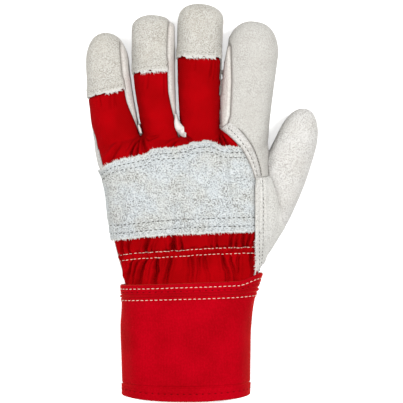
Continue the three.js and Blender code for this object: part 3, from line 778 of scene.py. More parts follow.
def drill(name, light, dark, weave_depth):
    """Twill: fine diagonal ribs, laid from above on the back and from the side on the flanks."""
    finish = Finish(name, Specular_IOR_Level=0.02)
    pitch = 0.9 * MM
    split = "ShaderNodeSeparateXYZ"
    x, y, z = (finish.node(split, [finish.place], axis) for axis in range(3))
    facing = finish.node("ShaderNodeNewGeometry", output="Normal")
    flank = finish.node(split, [facing])
    flank = finish.ramp(flank.maths("ABSOLUTE", flank), 0.6, 0.85)
    slub = finish.noise(3) * 0.6
    across = (x + y) * (0.7 / pitch) + slub
    beside = (z + y) * (0.7 / pitch) + slub
    ribs = across * (1 - flank) + beside * flank
    ribs = ribs.maths("SINE", ribs * (2 * math.pi)) * 0.5 + 0.5
    yarn = finish.noise(0.5)
    patches = finish.ramp(finish.noise(18, 3), 0.3, 0.7)
    colour = finish.mix(patches * 0.5 + ribs * 0.35, dark, light)
    # painted shade: a dark line along the cloth's seams and where a cap's or the strap's edge lies on
    # it
    colour = finish.mix(finish.attribute("groove") * 0.6, colour, (58, 0, 4))
    return finish.finish(colour, 0.82 + 0.12 * yarn, ribs * 0.75 + yarn * 0.25, weave_depth)


red_drill = drill("red cotton drill", (149, 0, 15), (121, 0, 9), 0.26)
up_hand = hand_points([(-far_right, -0.2), *cotton_edge])
crotch = [(21.0, up_hand[-1][1]), (21.5, 57.2), (27.5, 57.2)]
outline = [*up_hand, *crotch, *lap_seam[line_steps:]]
cotton_field = patch(outline, form)
for name in caps:
    finger = fingers[name]
    ends = (-0.1 * finger.length, finger.length - finger.cap[0] + cotton_under_cap)
    cotton_field = np.maximum(cotton_field, on_back(name, form, *ends))
    rest = rest.cut(-on_back(name, rest, *ends))
rest = rest.cut(-patch(outline, rest))
cotton = form.cut(cotton_field).largest()

# Folds of the gathered cloth above and below the elastic: each valley's place across the hand
upper_valleys = [
    # at its top, at its foot, half width, depth
    (-47.5, -45.5, 0.9, 0.9), (-42.2, -40.1, 0.9, 1.0), (-37.4, -36.3, 0.8, 0.9),
    (-23.1, -24.9, 1.3, 1.5), (-19.7, -21.8, 0.8, 0.7), (-7.5, -6.8, 1.2, 1.8),
    (-2.7, -1.6, 0.8, 1.0), (17.0, 18.3, 1.1, 0.5), (21.8, 22.9, 0.8, 0.6),
    (33.3, 30.9, 0.9, 1.1), (36.7, 34.7, 0.8, 0.7), (40.1, 40.1, 0.8, 1.0), (44.8, 42.2, 0.8, 1.1),
]
lower_valleys = [
    # at its top, at its foot, half width, depth
    (-43.5, -40.8, 0.9, 1.0), (-35.4, -39.4, 0.9, 1.2), (-31.3, -35.8, 0.8, 0.7),
    (-25.8, -32.0, 1.1, 1.5), (-17.7, -20.2, 1.1, 1.7), (-8.8, -12.6, 1.0, 1.1),
    (4.8, 3.6, 1.4, 0.9), (10.2, 9.5, 0.8, 0.5), (13.6, 17.6, 1.0, 0.6),
    (25.8, 29.9, 1.0, 1.1), (31.3, 34.7, 0.8, 0.8), (37.4, 35.6, 0.8, 0.7), (44.2, 47.9, 1.1, 1.4),
]
# Small folds under the fingertips, in the plan
tucks = [
    # from x, from y, to x, to y, half width, depth
    (19.2, 104.5, 17.8, 92.0, 0.7, 0.55), (21.6, 104.5, 20.6, 91.0, 0.7, 0.5),
    (8.0, 104.5, 7.0, 96.0, 0.9, 0.3), (-13.2, 95.0, -12.4, 80.0, 0.9, 0.45),
    (-24.0, 95.0, -25.5, 84.0, 0.9, 0.3), (-50.5, 81.0, -50.0, 70.0, 0.8, 0.5),
    (-47.0, 81.5, -46.2, 72.0, 0.7, 0.45), (-57.5, 79.0, -56.5, 72.0, 0.8, 0.35),
]
# Pleats at the crotches, in shares across and along the hand
pleats = [
    # from x, from y, to x, to y, half width, depth
    (-0.248, 0.985, -0.296, 0.865, 1.0, 1.7), (-0.246, 0.98, -0.262, 0.86, 0.9, 1.4),
    (-0.238, 0.985, -0.215, 0.88, 1.6, 1.0), (-0.035, 0.965, -0.085, 0.9, 1.2, 1.1),
    (0.01, 0.99, 0.055, 0.94, 1.3, 0.8), (0.2, 1.0, 0.216, 0.9, 1.0, 1.4),
    (0.214, 1.0, 0.25, 0.9, 1.0, 1.3), (-0.36, 0.93, -0.43, 0.8, 2.0, 1.0),
    (-0.14, 0.99, -0.2, 0.965, 1.2, 0.6),
]


def under_line(line, points):
    """Distance below a line that runs across the hand."""
    return np.interp(points[:, 0], line[:, 0], line[:, 1]) - points[:, 1]


def valley(aside, half, depth):
    """A sharp fold: a narrow dent between two soft shoulders."""
    shoulders = hump(np.abs(aside) - 2.1 * half, 1.2 * half)
    return 0.4 * depth * shoulders - depth * hump(aside, half)


def folds(points):
    x, y = points[:, 0], points[:, 1]
    across = x / hand_wide
    foot = wrist_y + hand_long * np.interp(across, *strap_foot.T)
    gathered = wrist_y + hand_long * np.interp(across, *shirring.T)
    height = np.zeros(len(points))
    wobble = 1.3 * ripple(points, 8, 2.2) + 0.5 * ripple(points, 3, 5.2)
    for valleys, top, low in (
        (upper_valleys, foot, gathered + shirring_half),
        (lower_valleys, gathered - shirring_half, wrist_y + cuff_slant * x - 1),
    ):
        down = (top - y) / (top - low)
        upper = valleys is upper_valleys
        here = fade(down, 0, 0.3 if upper else 0.1) * (1 - fade(down, 0.95, 1.1))
        away = 1 - np.clip(down, 0, 1) if upper else np.clip(down, 0, 1)
        for start, end, half, depth in valleys:
            aside = x - start - (end - start) * np.clip(down, 0, 1) + wobble
            height += here * valley(aside, half * (0.9 + 0.5 * away), depth * (3.9 - 2.4 * away))
        height += here * 0.3 * ripple(points * (1, 0.3, 1), 8, 9.4)
    between = 1 - fade(np.abs(y - gathered), shirring_half + 0.6, shirring_half + 2.2)
    pucker = 1.4 * ripple(points * (1, 0.15, 1), 2.4, 4.1) + 0.9 * ripple(points * (1, 0.1, 1), 4.4, 8)
    rows = sum(hump(y - gathered + side * shirring_half, 0.8) for side in (-1, 1))
    height += between * (1.3 * pucker - 0.3) - 0.6 * rows
    lines = [(*hand_points([ends[:2], ends[2:4]]).ravel(), *ends[4:]) for ends in pleats]
    for fx, fy, tx, ty, half, depth in lines + tucks:
        start, end = np.array((fx, fy)), np.array((tx, ty))
        along = (end - start) / np.linalg.norm(end - start)
        ahead = (x - start[0]) * along[0] + (y - start[1]) * along[1]
        aside = (x - start[0]) * along[1] - (y - start[1]) * along[0]
        share = ahead / np.linalg.norm(end - start)
        here = fade(share, -0.12, 0.2) * (1 - fade(share, 0.85, 1.2))
        height += here * valley(aside, half * (0.5 + 0.45 * np.clip(share, 0, 1)), depth * 2.5)
    return height


creases = 0.25 * ripple(cotton.points * (0.35, 1, 1), 5, 6.5) * fade(cotton.seam, 0, 4)
near_side = fade(cotton.seam, 0.3, 4.5)
for name in caps:
    below = -over_cap_edge(fingers[name], cotton.points)
    creases = creases - 0.9 * hump(below - 0.6, 0.9) * (8 * cotton.belongs(name) > -2)
under_strap = np.minimum(under_line(strap_top, cotton.points), -under_line(strap_low, cotton.points))
creases = creases - 1.4 * fade(under_strap, 0, 5)
cotton = cotton.moved(folds(cotton.points) * near_side + sunk(cotton, 0.9) + creases)
# painted shade on the cloth where a cap's or the strap's edge lies on it, drawn as a line along a seam
for name in caps:
    below = -over_cap_edge(fingers[name], cotton.points)
    away = np.abs(below - 0.5) / 1.6 + 9 * (cotton.belongs(name) < -1)
    cotton.seam = np.minimum(cotton.seam, away)
cotton.seam = np.minimum(cotton.seam, 0.3 + np.abs(under_strap + 0.7) / 1.6)
back = sew("back_cotton", cotton, cotton_wall, red_drill, kept=0.72)

# The index finger. Its back is one piece of split leather with the strip down to the cross seam,
# and a seam on its middle-finger side.
index_seam = [
    # share of the length, share of the half width
    (-0.02, -1.04), (0.06, -0.88), (0.16, -0.74), (0.45, -0.74), (0.75, -0.86), (0.88, -1.2),
]
finger = fingers["index"]
cross = lap_seam[cross_at]
outline = [
    *(finger.at_side(at * finger.length, side) for at, side in index_seam),
    finger.beside(finger.length + past_tip, -finger.widths[1] / 2),
    finger.beside(finger.length + past_tip, finger.widths[1]),
    *hand_points([(far_right, 1.2), (far_right, 0.738)]),
    *lap_seam[line_steps : cross_at + 1][::-1],
]
index_field = patch(outline, rest)
index_back = rest.cut(index_field).largest()
rest = rest.cut(-index_field)
index_skin = index_back.moved(sunk(index_back))
index_suede = suede("split leather index", (164, 162, 157), (157, 154, 149), 0.28, 0.8, 0.9)
sew("index_back", index_skin, leather_wall, index_suede)

# The side panel. Split leather between the cotton and the thumb. Its edge is folded under, laps
# over the cotton and the strap's end, and is stitched down in two rows.
lap_edge = smooth_line(hand_points([
    (0.213, 1.035), (0.265, 0.98), (0.3145, 0.911), (0.36, 0.816),
    (0.394, 0.701), (0.393, 0.614), (0.396, 0.345), (0.4, 0.09), (0.4, -0.2),
]))
lap_row = 3.1
lap_wall = 1.4
panel_suede = suede("split leather side", (184, 183, 179), (177, 175, 170), 0.42, 0.85, 1.2)
panel = form.cut(on_panel([cross, *lap_edge[cross_at:]], form.points)).largest()
rest = rest.cut(-on_panel(lap_seam[cross_at:], rest.points))


def right_of(line, points):
    """Distance to the thumb side of a line that runs down the hand."""
    order = np.argsort(line[:, 1])
    return points[:, 0] - np.interp(points[:, 1], line[order, 1], line[order, 0])


def lapped(skin):
    """Height of the folded edge: on the strap, then down to the panel beyond the seam."""
    past_edge = right_of(lap_edge, skin.points)
    past_seam = right_of(lap_seam, skin.points)
    level = 2.1 + 0.9 * (1 - fade(past_edge, 0.5, 3.5))
    level = level * (1 - fade(past_seam, -0.5, 4.5))
    crease = -1.2 * hump(past_seam, 0.8) - 0.4 * hump(past_edge - lap_row, 0.7)
    under_cuff = fade(skin.points[:, 1], wrist_y + 4, wrist_y + 16)
    return (level + crease) * under_cuff


at_rim = from_line(panel_rim[2:], panel.points)
hem = sunk(panel) * fade(right_of(lap_seam, panel.points), 0, 4) * fade(at_rim, 1, 5)
up_rim = beside_rim(panel.points)
rim = 0.5 * up_rim * hump(at_rim, 3) - 0.3 * hump(at_rim, 0.8)
panel_skin = panel.moved(lapped(panel) + hem + rim)
# painted shade along the panel's seams, only towards its top, beside the thumb
sew("side_panel", panel_skin, lap_wall, panel_suede, soft_edge=0.3, seam_shade=0.45 * up_rim)

# The edge strip. A narrow strip of split leather over the seam between cotton and index finger,
# from the crotch down to the cross seam, with one row of stitches down its middle.
outline = [*lap_edge[: cross_at + 1], *lap_seam[: cross_at + 1][::-1]]
strip = form.cut(patch(outline, form)).largest()
past_edge = inside(outline, strip.points)
middle_dent = -0.45 * hump(past_edge - 3.2, 0.9) - 0.7 * hump(past_edge, 0.8)
to_seam = from_line(lap_seam[: cross_at + 1], strip.points)
strip = strip.moved(0.2 + 1.7 * fade(to_seam, 0, 5) + middle_dent)
sew("edge_strip", strip, lap_wall, warm_suede, soft_edge=0.35)

# The walls between the fingers. Narrow strips of split leather that give the fingers their depth.
# They are greyer than the back, and slightly pink where the hide's flesh side shows.
wall_suede = suede("split leather walls", (180, 177, 172), (172, 164, 158), 0.22, 1.1, 0.8)
wall_stations = (-0.13, 0.2, 0.5, 0.8, 1.1)
for near, far in (("little", "ring"), ("ring", "middle"), ("middle", "index")):
    lines = [
        [fingers[name].beside(at * fingers[name].length, 0) for at in wall_stations]
        for name in (near, far)
    ]
    field = patch([*lines[0], *lines[1][::-1]], rest, palm_seam)
    wall = rest.cut(field).largest()
    rest = rest.cut(-field)
    name = f"side_wall_{near}_{far}"
    sew(name, wall.moved(sunk(wall)), leather_wall, wall_suede)

# At two crotches the wall's end is turned out over the cotton as a small tongue.
tongues = [
    # left edge, right edge, both in the plan
    (
        [(-6.0, 66.0), (-6.6, 60.6), (-5.6, 55.8), (-3.2, 52.4), (0.2, 50.4)],
        [(-5.2, 66.4), (-3.2, 61.6), (-1.2, 58.7), (0.9, 55.6), (1.6, 51.6)],
    ),
    (
        [(-31.4, 59.0), (-31.2, 57.0), (-30.6, 55.0), (-29.6, 53.4)],
        [(-30.2, 59.0), (-29.4, 57.2), (-28.8, 55.4), (-28.8, 53.6)],
    ),
]


def dropped(skin, plan):
    """Where places in the plan meet a piece from above, with its facing there."""
    high_above, down = 200, Vector((0, 0, -1))
    tree = BVHTree.FromPolygons(skin.points.tolist(), skin.faces.tolist())
    return [tree.ray_cast(Vector((x, y, high_above)), down)[:2] for x, y in plan]


def height_at(skin, plan, least):
    hits = dropped(skin, plan)
    return np.array([least if hit is None else max(hit.z, least) for hit, _ in hits])


def own_skin(points, quads):
    """A piece that isn't cut from the form, made of four-cornered faces."""
    faces = np.concatenate((quads[:, [0, 1, 2]], quads[:, [0, 2, 3]]))
    far_off = np.full(len(points), 99.0)
    return Skin(points, point_normals(points, faces), far_off, far_off[:, None], faces)


tongue_wall = 1.0
for count, (left, right) in enumerate(tongues, 1):
    left, right = smooth_line(left, 5), smooth_line(right, 5)
    low, high = height_at(form, left, 24) + 0.9, height_at(form, right, 24) + 1.6
    high = np.clip(high, low - 1, low + 2.5)
    shares = np.linspace(0, 1, 9)[:, None, None]
    left, right = np.column_stack((left, low)), np.column_stack((right, high))
    grid = left * (1 - shares) + right * shares
    grid[:, :, 2] += 1.5 * np.sin(math.pi * shares[:, :, 0])
    across, along = grid.shape[:2]
    corner = np.arange(across * along).reshape(across, along)
    quads = np.stack((corner[:-1, :-1], corner[1:, :-1], corner[1:, 1:], corner[:-1, 1:]), -1)
    tongue = own_skin(grid.reshape(-1, 3), quads.reshape(-1, 4)[:, ::-1])
    sew(f"tongue_{count}", tongue, tongue_wall, wall_suede, soft_edge=0.4, rim=0.8, extra=True)

# The palm. One piece of split leather for the palm and the fronts of the fingers, turned up round
# the little finger's edge, where it shows beside the cotton.
palm = rest.largest()
sew("palm", palm.moved(sunk(palm)), leather_wall, warm_suede, kept=0.4)

# The knuckle strap. A wide band of the roughest split leather, sewn over the cotton with two rows
# of stitches along its upper and lower edges. Both edges are raw and fray.
strap_suede = suede("split leather strap", (176, 182, 185), (168, 167, 160), 0.72, 0.9, 2.4)
strap_wall, strap_lift = 1.3, 1.9
rows_from_top, rows_from_foot = (3.2, 6.6), (9.2, 3.6)
bends = [
    # where the knuckles bend it: from x, from y, to x, to y, half width, depth
    (-1, 34, -5, -16, 2.4, 1.7), (31, 33, 34, 8, 2.6, 1.9),
    (-38, 24, -44, -8, 3.4, 1.0), (-24, 30, -28, 0, 2.6, 1.0),
]
field = np.minimum.reduce([
    under_line(strap_top, form.points) + frayed(form.points, 1.3),
    frayed(form.points, 1.1) - under_line(strap_low, form.points),
    2.2 - right_of(lap_edge, form.points),
    above(form.points, back_seam),
])
strap = form.cut(field, is_seam=False).largest()
from_top = under_line(strap_top, strap.points)
from_foot = -under_line(strap_low, strap.points)
to_lap = -right_of(lap_edge, strap.points)
stitch_dents = sum(hump(from_top - row, 0.7) for row in rows_from_top)
stitch_dents = stitch_dents + sum(hump(from_foot - row, 0.7) for row in rows_from_foot)
nap = 0.3 * ripple(strap.points, 1.9, 3.3) + 0.18 * ripple(strap.points, 1.0, 6.1)
body = 0.6 * ripple(strap.points * (1, 0.35, 1), 11, 12.2)
for sx, sy, ex, ey, half, depth in bends:
    body = body - depth * hump(from_line([(sx, sy), (ex, ey)], strap.points), half)
tucked = -1.4 * (1 - fade(to_lap, -1, 2.6))
strap = strap.moved(strap_lift + nap + body - 0.3 * stitch_dents + tucked)
fresh = 1 - fade(np.minimum(from_top, from_foot), -0.8, 1.6)
sew("knuckle_strap", strap, strap_wall, strap_suede, soft_edge=0.3, rim=fresh)

# The cuff. Two-ply rubberised cotton, stiff enough to stand as a tube. Its top edge is turned in a
# folded band, stitched to the hand with two white rows and a red one, and its mouth is hemmed.
cuff_long, cuff_wide, cuff_high = 78, 87, 42
cuff_rows = np.array([
    # down, left, right, top
    (0.0, -42.9, 51.3, 39.6),
    (10.3, -42.4, 48.6, 39.2),
    (0.35 * cuff_long, -0.493 * cuff_wide, 0.522 * cuff_wide, cuff_high),
    (0.65 * cuff_long, -0.487 * cuff_wide, 0.512 * cuff_wide, 0.99 * cuff_high),
    (cuff_long, -0.481 * cuff_wide, 0.509 * cuff_wide, 0.97 * cuff_high),
])
band_deep, hem_deep = 11.0, 8.4
under_cuff_room = 0.3
cuff_cloth = 1.6
cuff_corner, cuff_flare, rim_sweep = 4.5, 0.4, 3.0
band_rows = {"upper": 2.2, "red": 4.6, "crease": 6.3, "ridge": 7.2, "under": 8.3, "lower": 10.0}
hem_row = 4.6
cuff_relief = [
    # down, depth, half width
    (band_rows["upper"], -0.35, 0.7),
    (band_rows["red"], -0.35, 0.6),
    (band_rows["crease"], -1.1, 0.42),
    (band_rows["ridge"], 0.5, 0.7),
    (band_rows["under"], -0.8, 0.45),
    (band_rows["lower"], -0.35, 0.7),
    (cuff_long - hem_deep - 0.9, -0.6, 0.5),
    (cuff_long - hem_row, -0.25, 0.6),
]


def cuff_skin(down, angle, proud=0.0):
    """Points of the cuff's outside, at lengths down from its top edge and angles round it."""
    left, right, top = (curve_through(down, cuff_rows, column) for column in (1, 2, 3))
    rounded = [
        np.sign(value) * np.abs(value) ** (2 / squareness) for value in (np.cos(angle), np.sin(angle))
    ]
    wavy = 0.4 * np.sin(3 * angle + 0.02 * down) + 0.45 * np.sin(8 * angle + 1.3 + 0.015 * down)
    wavy = wavy * fade(down, 14, 30) * (1 - 0.5 * fade(down, cuff_long - 12, cuff_long))
    relief = 0.6 * (1 - fade(down, band_deep - 0.8, band_deep + 0.5))
    relief = relief + 0.45 * fade(down, cuff_long - hem_deep - 0.5, cuff_long - hem_deep + 0.3)
    for place, depth, half in cuff_relief:
        relief = relief + depth * hump(down - place, half)
    outside = relief + proud + wavy
    middle, half = (left + right) / 2, (right - left) / 2
    x = middle + (half + outside) * rounded[0]
    z = (top - sole) / 2 + ((top + sole) / 2 + outside) * rounded[1]
    aside = (x - middle) / half
    corner = fade(aside, 0.7, 1.0) * cuff_corner * (1 - fade(down, 0, 14)) ** 1.5
    share = down / cuff_long
    y = wrist_y - down + corner + cuff_slant * x * (1 - share)
    y = y + rim_sweep * share**4 * np.abs(aside) ** 2.5
    return np.column_stack((x + cuff_flare * corner, y, np.maximum(z, under_cuff_room)))


def rubberised(name, light, dark):
    """Close fine ribs down the cuff, under a thin film of rubber."""
    sheen = {"Sheen_Weight": 0.35, "Sheen_Roughness": 0.4, "Sheen_Tint": (1, 0.1, 0.05, 1)}
    finish = Finish(name, Specular_IOR_Level=0.01, **sheen)
    turns = finish.attribute("round")
    ribs = turns.maths("SINE", turns * (2 * math.pi / 1.15)) * 0.5 + 0.5
    grain = finish.noise(0.6, 3)
    specks = finish.ramp(finish.noise(1.2), 0.42, 0.62)
    patches = finish.ramp(finish.noise(22, 3), 0.3, 0.7)
    colour = finish.mix(patches * 0.45 + ribs * 0.25 + specks * 0.3, dark, light)
    return finish.finish(colour, 0.62 + 0.2 * grain, ribs * 0.5 + grain * 0.5, 0.15)


red_rubber = rubberised("red rubberised cotton", (151, 0, 23), (124, 0, 15))
around = 260
below_band, hem_start = 13, 65
down_rows = np.unique(np.concatenate((
    np.arange(0, below_band, 0.3),
    np.arange(below_band, hem_start, 1.4),
    np.arange(hem_start, cuff_long + 0.01, 0.35),
)))
down_rows[-1] = cuff_long
angles = np.linspace(0, 2 * math.pi, around, endpoint=False)
grid_down, grid_angle = (value.reshape(-1) for value in np.meshgrid(down_rows, angles, indexing="ij"))
here = np.arange(around)
beside = (here + 1) % around
quads = np.concatenate([
    np.column_stack((row + here, row + beside, row + around + beside, row + around + here))
    for row in range(0, (len(down_rows) - 1) * around, around)
])
cuff_points = cuff_skin(grid_down, grid_angle)
cuff_body = own_skin(cuff_points, quads)
cuff = sew("cuff", cuff_body, cuff_cloth, red_rubber, soft_edge=0.45)
girth = np.hypot(*np.diff(cuff_points[:around, [0, 2]], axis=0).T)
rounds = np.tile(np.concatenate(([0], np.cumsum(girth))), len(down_rows))
write(cuff.data, "round", np.concatenate((rounds, rounds, rounds[:around], rounds[:around])))

# The threads. White cotton on the cloth, grey on the leather and red in the cuff's hems. Every row
# is laid on the piece that it holds, and the same tree sets a stitch at each step along it.


def row_tree():
    """Geometry Nodes: one thing set at each step along rows, turned and sized at random."""
    tree = bpy.data.node_groups.new("things along rows", "GeometryNodeTree")
    kinds = {
        "Rows": "Geometry", "Thing": "Object", "Pitch": "Float",
        "Turn Low": "Vector", "Turn High": "Vector", "Size Low": "Vector", "Size High": "Vector",
        "Seed": "Int", "Finish": "Material",
    }
    for name, kind in kinds.items():
        tree.interface.new_socket(name, in_out="INPUT", socket_type=f"NodeSocket{kind}")
    tree.interface.new_socket("Things", in_out="OUTPUT", socket_type="NodeSocketGeometry")
    given = tree.nodes.new("NodeGroupInput").outputs

    def node(kind, inputs=(), output=0, **settings):
        return new_node(tree, kind, settings, inputs).outputs[output]

    def random_vector(low, high):
        inputs = {"Min": given[low], "Max": given[high], "Seed": given["Seed"]}
        return node("FunctionNodeRandomValue", inputs, data_type="FLOAT_VECTOR")

    lengths = {"Curve": given["Rows"], "Length": given["Pitch"]}
    steps = node("GeometryNodeResampleCurve", lengths, mode="LENGTH")
    ahead = {"Vector": node("GeometryNodeInputTangent")}
    aligned = node("FunctionNodeAlignRotationToVector", ahead, axis="X")
    turn = node("FunctionNodeEulerToRotation", [random_vector("Turn Low", "Turn High")])
    turns = {"Rotation": aligned, "Rotate By": turn}
    turned = node("FunctionNodeRotateRotation", turns, rotation_space="LOCAL")
    thing = node("GeometryNodeObjectInfo", {"Object": given["Thing"]}, "Geometry")
    sizes = random_vector("Size Low", "Size High")
    set_out = {"Points": steps, "Instance": thing, "Rotation": turned, "Scale": sizes}
    things = node("GeometryNodeInstanceOnPoints", set_out)
    real = node("GeometryNodeRealizeInstances", [things])
    done = node("GeometryNodeSetMaterial", {"Geometry": real, "Material": given["Finish"]})
    new_node(tree, "NodeGroupOutput", {}, [done])
    return tree


rows_of_things = row_tree()
socket_of = {
    item.name: item.identifier for item in rows_of_things.interface.items_tree if item.in_out == "INPUT"
}


def set_along(name, rows, thing, pitch, turns, sizes, material, seed):
    """A piece made of one thing repeated along rows of points."""
    curve = bpy.data.curves.new(name, "CURVE")
    curve.dimensions = "3D"
    for row in rows:
        if len(row) > 1:
            spline = curve.splines.new("POLY")
            spline.points.add(len(row) - 1)
            for point, place in zip(spline.points, row):
                point.co = (*(place * MM), 1)
    holder = in_scene(name, curve)
    modifier = holder.modifiers.new("rows", "NODES")
    modifier.node_group = rows_of_things
    values = {
        "Thing": thing, "Pitch": pitch * MM, "Turn Low": turns[0], "Turn High": turns[1],
        "Size Low": [size * MM for size in sizes[0]], "Size High": [size * MM for size in sizes[1]],
        "Seed": seed, "Finish": material,
    }
    for key, value in values.items():
        modifier[socket_of[key]] = value
    holder.update_tag()
    mesh = bpy.data.meshes.new_from_object(evaluated(holder))
    bpy.data.objects.remove(holder)
    mesh.shade_smooth()
    return placed(name, mesh, extra=True)


def shape_of(name, shape):
    """An object that isn't in the scene, from a finished shape."""
    bmesh.ops.recalc_face_normals(shape, faces=shape.faces)
    mesh = bpy.data.meshes.new(name)
    shape.to_mesh(mesh)
    shape.free()
    return bpy.data.objects.new(name, mesh)


def stitch_shape():
    """One stitch of unit length along X, as a slim bead whose ends dip into the cloth."""
    shape = bmesh.new()
    bmesh.ops.create_uvsphere(shape, u_segments=8, v_segments=6, radius=0.5)
    for vertex in shape.verts:
        vertex.co = (vertex.co.z, vertex.co.x, vertex.co.y - 0.5 * (2 * vertex.co.z) ** 2)
    return shape_of("stitch", shape)


def thread(name, light, dark):
    finish = Finish(name, Specular_IOR_Level=0.05)
    twist = finish.noise(0.35)
    return finish.finish(finish.mix(twist, dark, light), 0.75 + 0.2 * twist, twist, 0.1)


white_thread = thread("white thread", (214, 200, 184), (188, 158, 140))
grey_thread = thread("grey thread", (58, 56, 50), (30, 29, 26))
red_thread = thread("red thread", (100, 0, 8), (62, 0, 4))
stitch = stitch_shape()


def laid_on(skin, plan, lift=0.1):
    """A row of points in the plan, dropped onto a piece from above."""
    hits = dropped(skin, plan)
    return [np.array(hit + facing * lift) for hit, facing in hits if hit and facing.z > 0.15]


def stitched(name, rows, length, pitch, thick, material, seed):
    """Rows of stitches, each a little askew, with their length, pitch and thickness."""
    tilt, spread = 0.05, math.radians(7)
    set_along(
        name, rows, stitch, pitch,
        ((-tilt, -tilt, -spread), (tilt, tilt, spread)),
        ((length * 0.9, thick, thick), (length * 1.08, thick, thick * 1.1)),
        material, seed,
    )


xs = np.linspace(-0.375, 0.385, 160)
gather = hand_points(np.column_stack((xs, np.interp(xs, *shirring.T))))
gather_rows = [laid_on(cotton, gather + (0, side * shirring_half), 0.25) for side in (-1, 1)]
stitched("stitches_gather", gather_rows, 2.3, 3.1, 0.44, white_thread, 3)
strap_rows = [strap_top[line_steps:] - (0, row) for row in rows_from_top]
strap_rows += [strap_low + (0, row) for row in rows_from_foot]
strap_rows = [laid_on(strap, row, 0.3) for row in strap_rows]
stitched("stitches_strap", strap_rows, 1.9, 3.3, 0.5, grey_thread, 5)
lap_rows = [lap_seam[cross_at + 1 :], lap_edge[cross_at + 2 * line_steps :] + (lap_row, 0)]
lap_rows = [laid_on(panel_skin, row) for row in lap_rows]
lap_rows.append(laid_on(strip, lap_seam[2:cross_at] * 0.42 + lap_edge[2:cross_at] * 0.58))
stitched("stitches_lap", lap_rows, 1.9, 2.9, 0.42, grey_thread, 7)
finger = fingers["index"]
cross_row = [cross + (along, along * 0.25) for along in np.linspace(0, 6.4, 12)]
sides = smooth_line([(along * finger.length, side) for along, side in index_seam[1:5]])
side_row = [finger.at_side(at, side, 0.3) for at, side in sides]
seam_rows = [laid_on(index_skin, row) for row in (lap_seam[5:cross_at], cross_row)]
seam_rows.append(laid_on(index_skin, side_row, -0.1))
for name, cap in caps.items():
    finger = fingers[name]
    low, high = finger.length - finger.cap[0] + 2, finger.length - 5
    row = [finger.at_side(at, finger.seam, -0.3) for at in np.linspace(low, high, 30)]
    seam_rows.append(laid_on(cap, row, -0.1))
stitched("stitches_seams", seam_rows, 1.9, 2.1, 0.34, grey_thread, 8)


def cap_row(name, sides, up, below=0.0):
    """A row across a cap, over its lower edge, at shares of the half width."""
    finger = fingers[name]
    length, slant = finger.cap
    at = finger.length - length + up
    return [finger.beside(at + slant * side - below, side * finger.half(at)) for side in sides]


sides = np.linspace(-0.92, 0.6, 30)
cap_rows = [laid_on(cap, cap_row(name, sides, 2.6), 0.0) for name, cap in caps.items()]
stitched("stitches_fingertips", cap_rows, 1.2, 2.4, 0.3, grey_thread, 9)
full_turn = np.linspace(0, 2 * math.pi, 300)
stitch_clear = 0.33


def cuff_row(down, proud):
    row = cuff_skin(np.full(len(full_turn), float(down)), full_turn, proud)
    row[:, 2] = np.maximum(row[:, 2], stitch_clear)
    return list(row)


band = [cuff_row(band_rows["upper"], 0.2), cuff_row(band_rows["lower"], 0.2)]
stitched("stitches_cuff", band, 2.2, 3.2, 0.48, white_thread, 11)
hems = [cuff_row(band_rows["red"], 0.05), cuff_row(cuff_long - hem_row, 0.08)]
stitched("stitches_hem", hems, 1.5, 4.2, 0.5, red_thread, 13)

# Loose fibres. The leather's cut edges shed short tufts of fibre, which lie over the cloth. They are
# set along the edges as the stitches are along their rows, at uneven angles and sizes.


def fibre_shape():
    """One tuft of unit length along X: a thin bent spike."""
    shape = bmesh.new()
    rings = []
    for along, width in ((0, 0.5), (0.4, 0.42), (0.75, 0.25), (1.0, 0.05)):
        corners = [(0.7, -0.7), (0.7, 0.7), (-0.7, 0.7), (-0.7, -0.7)]
        bend = 0.9 * along**2
        rings.append([shape.verts.new((along, bend + width * y, width * z)) for y, z in corners])
    for one, two in zip(rings, rings[1:]):
        for at in range(4):
            shape.faces.new((one[at - 1], one[at], two[at], two[at - 1]))
    shape.faces.new(rings[0])
    shape.faces.new(rings[-1][::-1])
    return shape_of("fibre", shape)


fibre = fibre_shape()
fibre_finish = thread("leather fibre", (200, 200, 196), (180, 179, 174))


def tufted(name, rows, towards, seed):
    """Fibres along rows that run to the thumb side. towards is -90 for down the hand, 90 for up."""
    low, high = (math.radians(towards + off) for off in (-50, 50))
    fibre_pitch = 0.42
    set_along(
        name, rows, fibre, fibre_pitch,
        ((-0.4, -0.5, low), (0.4, 0.1, high)),
        ((0.9, 0.35, 0.35), (2.6, 0.75, 0.75)),
        fibre_finish, seed,
    )


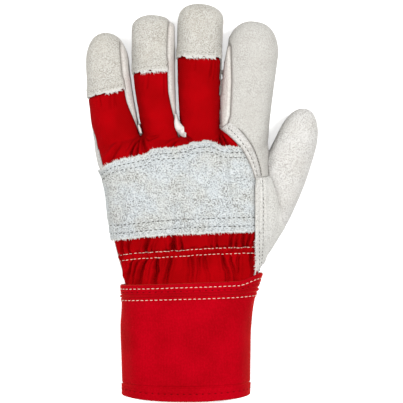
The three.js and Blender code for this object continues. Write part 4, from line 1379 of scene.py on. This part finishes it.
cap_edges = []
for name, cap in caps.items():
    sides = np.linspace(-0.85, fingers[name].seam - 0.04, 60)
    cap_edges.append(laid_on(cap, cap_row(name, sides, 0, 0.7), -0.3))
tufted("tufts_fingertips", cap_edges, -90, 21)
top_edge, foot_edge = strap_top[8:] - (0, 0.1), strap_low + (0, 0.1)
tufted("tufts_strap_top", [laid_on(strap, top_edge, -0.3)], 90, 22)
tufted("tufts_strap_foot", [laid_on(strap, foot_edge, -0.3)], -90, 23)
panel_edge = [point for point in lap_edge + (1.3, 0) if wrist_y + 8 < point[1] < -17]
tufted("tufts_panel", [laid_on(panel_skin, panel_edge, -0.4)], -90, 24)

# The stage. A plain pale floor, soft studio light from all sides and a long lens straight above, so
# that the glove is seen from over its middle with its sides hardly showing.
floor_mesh = bpy.data.meshes.new("floor")
floor_mesh.from_pydata([(-3, -3, 0), (3, -3, 0), (3, 3, 0), (-3, 3, 0)], [], [(0, 1, 2, 3)])
paper = Finish("paper", Base_Color=(0.93, 0.93, 0.93, 1), Roughness=1)
floor_mesh.materials.append(paper.material)
in_scene("floor", floor_mesh)
bpy.context.scene.view_settings.view_transform = "Standard"

lights = [
    # name, place in m, size in m, watts
    ("key", (0.7, 0.3, 1.2), 0.3, 15.5),
    ("fill", (-0.95, 0.1, 1.0), 0.8, 11),
    ("overhead", (0.0, 0.0, 1.75), 0.09, 20),
]
for name, place, size, watts in lights:
    data = bpy.data.lights.new(name, "AREA")
    data.shape, data.size, data.energy = "SQUARE", size, watts
    lamp = in_scene(name, data)
    lamp.location = place
    lamp.rotation_euler = (Vector() - Vector(place)).to_track_quat("-Z", "Y").to_euler()
world = bpy.data.worlds.new("studio")
world.use_nodes = True
background = world.node_tree.nodes["Background"].inputs
background["Color"].default_value = (1, 1, 1, 1)
background["Strength"].default_value = 0.4
bpy.context.scene.world = world

frame_pixels = 403
mm_per_pixel = 0.68
origin_pixel = (184, 212)
middle_height = 20
camera_height = 1300
film = 36
camera = in_scene("camera", bpy.data.cameras.new("camera"))
camera.data.sensor_width = film
camera.data.lens = film * camera_height / (frame_pixels * mm_per_pixel)
camera.location = (
    (frame_pixels / 2 - origin_pixel[0]) * mm_per_pixel * MM,
    (origin_pixel[1] - frame_pixels / 2) * mm_per_pixel * MM,
    (camera_height + middle_height) * MM,
)
bpy.context.scene.camera = camera
